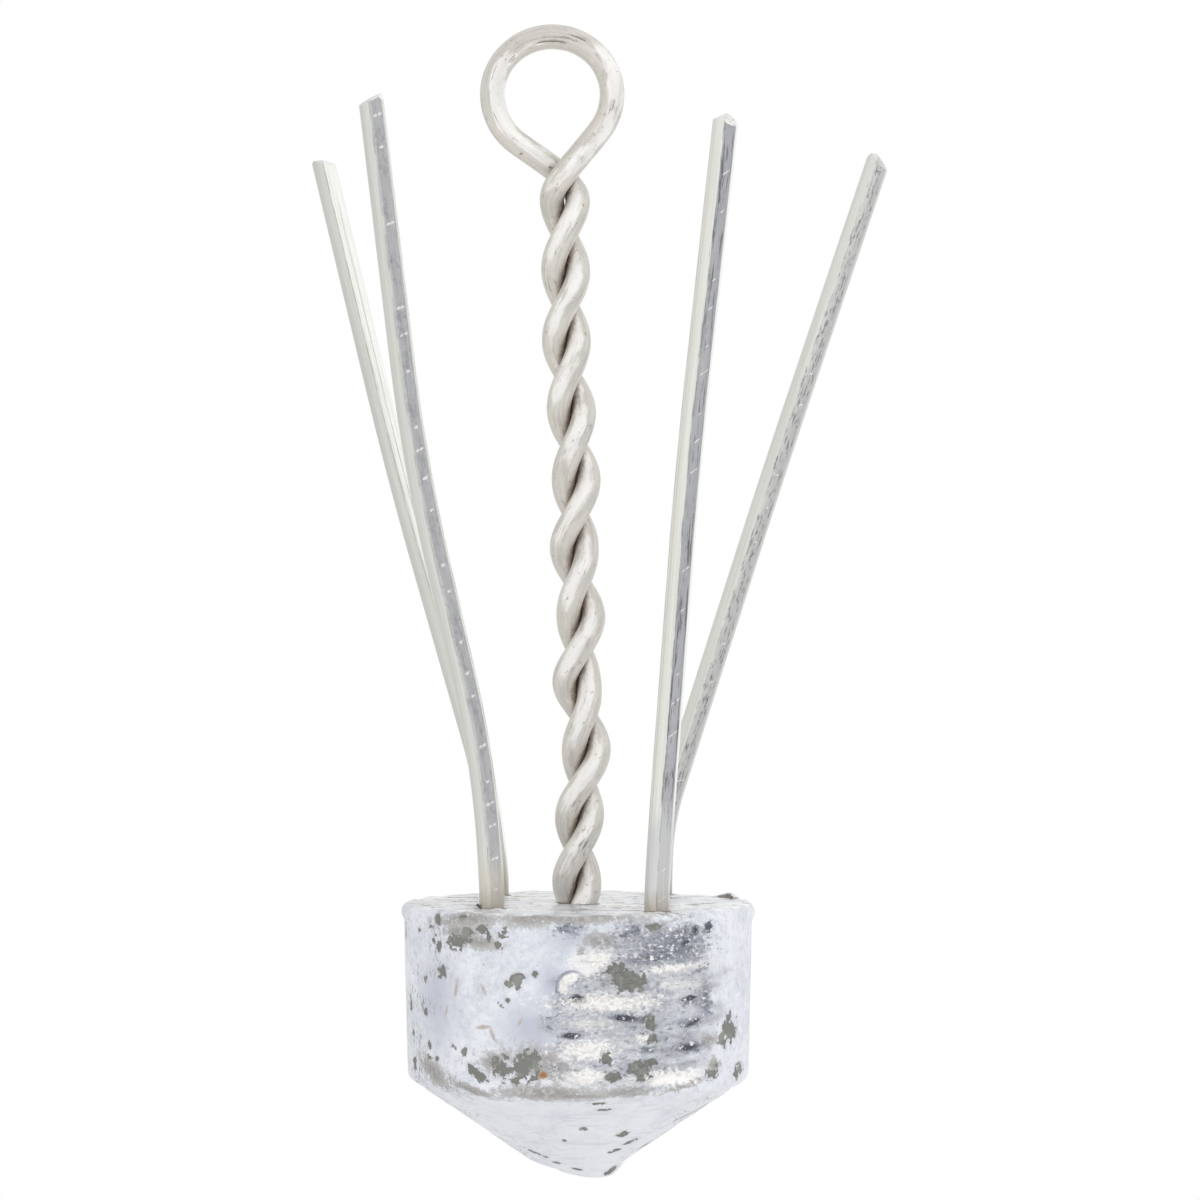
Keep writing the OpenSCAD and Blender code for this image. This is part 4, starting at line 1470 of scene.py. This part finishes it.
# Colours, from the skin outwards
LEAD_TONE = "DCE0E9"
LEAD_TONES = {
    "pale": "ECEFF6",
    "greyed": "CBCED6",
    "frosted": "F4F6FB",
    "gritty": "C3C5CA",
    "gritty_light": "F0F2F6",
    "flecked": "9C9D9F",
    "cone_pale": "ECEEF2",
    "ringed": "CCCED3",
    "shade": "C6CAD7",
    "scratch": "C2BAB2",
    # Smudges: dirt, and painted shade under the rim and along the shoulder crease
    "smudge_and_shade": "ABA9A7",
    "smudge_dark": "8E8B88",
    "smudge_light": "CDCBCA",
    # Cold run: painted dark reflections and specks, painted shade in pits, and painted highlights and glints
    "run_shade": "BABCC4",
    "dark_run_reflection": "8F939F",
    "run_dark": "7C808B",
    "bright_run_highlight": "F6F5F5",
    "run_light": "EFF0F3",
    "pit": "545865",
    "run_deep": "5F636F",
    "bubble_shade_ring": "9EA1AB",
    "gleam": "FFFDFA",
    "run_glint": "FFFFFF",
    "run_spark": "FFFFFF",
    "face_pale": "FDFDFD",
    "face_lines": "98999B",
    # Specks of painted reflection on the flanks
    "speckles": "9A9B9C",
    "speckles_large": "77787A",
    "halo": "A5A6A6",
    "chip": "83847F",
    "chip_light": "9C9D97",
    # Painted shade round the wire roots, along the face's wrinkles and inside the torn rim, and darkened
    # lumps
    "shade_line": "625D56",
    "rust": "A8764A",
}
# How high each texture stands, how rough and metallic plain and cold-run lead is, and how the face differs
LEAD_HEIGHTS = {
    "chip": -1.2, "run_light": 0.8, "run_dark": -0.8, "pit": -1.0, "face_lines": -0.8, "scratch": -0.4
}
LEAD_ROUGH = (0.5, 0.22)
FACE_SMOOTHER = -0.22
FACE_SHINE = 0.4
LEAD_METAL = (0.12, 0.55)
LEAD_DENTS = (0.7, 0.00008)


def lead_masks(tree, mm):
    """The lead's noises, and where each of its marks and textures shows, from 0 to 1."""
    masks = noises_of(tree, mm, LEAD_NOISES)
    flakes = add(tree, "TexVoronoi", {"Vector": mm, "Scale": FLAKE_SCALE}, take="Color")
    flake = add(tree, "SeparateXYZ", (flakes,))
    for name in ("cold_run", "open_face", "reflection_specked", "cone"):
        masks[name] = add(tree, "Attribute", take="Fac", attribute_name=name)
    for name, (grained, strength, low, high) in MARK_EDGES.items():
        mark = add(tree, "Attribute", take="Fac", attribute_name=name)
        mark = broken_up(tree, mark, masks[grained], strength)
        if name == "chip":
            mark = masks["in_chip"] = broken_up(tree, mark, flake, FLAKE_STRENGTH)
        masks[name] = add(tree, "MapRange", (mark, low, high))
    off = add(tree, "Math", (masks["ripples"], NOISE_MIDDLE), "SUBTRACT")
    masks["off_middle"] = add(tree, "Math", (off,), "ABSOLUTE")
    fade_in(tree, masks, LEAD_TEXTURES)
    return masks


def cast_lead_material():
    """Hand-poured lead: a bluish white skin, flaked off in grey chips, and shiny where it ran cold, with
    painted highlights, painted dark reflections and painted shade in pits there.
    """
    material, tree = new_material("cast_lead_with_flaked_skin")
    place = add(tree, "TexCoord", take="Object")
    mm = add(tree, "Mapping", {"Vector": place, "Scale": (1 / MM, 1 / MM, 1 / MM)})
    masks = lead_masks(tree, mm)
    tone = layered(tree, linear(LEAD_TONE), masks, LEAD_TONES)
    rough = add(tree, "MapRange", (masks["cold_run"], 0.0, 1.0, *LEAD_ROUGH))
    rough = add(tree, "Math", (rough, masks["chip"]), "MAXIMUM")
    rough = add(tree, "Math", (masks["open_face"], FACE_SMOOTHER, rough), "MULTIPLY_ADD")
    shine = add(tree, "Math", (masks["open_face"], FACE_SHINE), "MULTIPLY")
    shine = add(tree, "Math", (masks["cold_run"], shine), "MAXIMUM")
    metal = add(tree, "MapRange", (shine, 0.0, 1.0, *LEAD_METAL))
    # Chips, painted glints and painted gleams are not metal, so the painted highlights show whatever the
    # light
    for name in ("chip", "run_glint", "gleam"):
        kept = add(tree, "Math", (1.0, masks[name]), "SUBTRACT")
        metal = add(tree, "Math", (metal, kept), "MULTIPLY")
    height = masks["frost"]
    for name, size in LEAD_HEIGHTS.items():
        height = add(tree, "Math", (masks[name], size, height), "MULTIPLY_ADD")
    finish_material(tree, tone, rough, metal, height, *LEAD_DENTS)
    return material


# Each claw's marks are set off along its wire, so that no two claws look alike
CLAW_SEED = 100.0

make_camera()
make_world()
make_key_light()
make_floor()
make_lead(cast_lead_material())
make_eye_wire(twisted_wire_material())
for number, (claw_name, claw_values) in enumerate(CLAWS.items()):
    wire = claw_wire_material(claw_name, {**CLAW_LOOK, **CLAW_LOOKS[claw_name]})
    make_claw(claw_name, claw_values, CLAW_SEED * (number + 1), wire)

bpy.context.scene.view_settings.view_transform = "Standard"
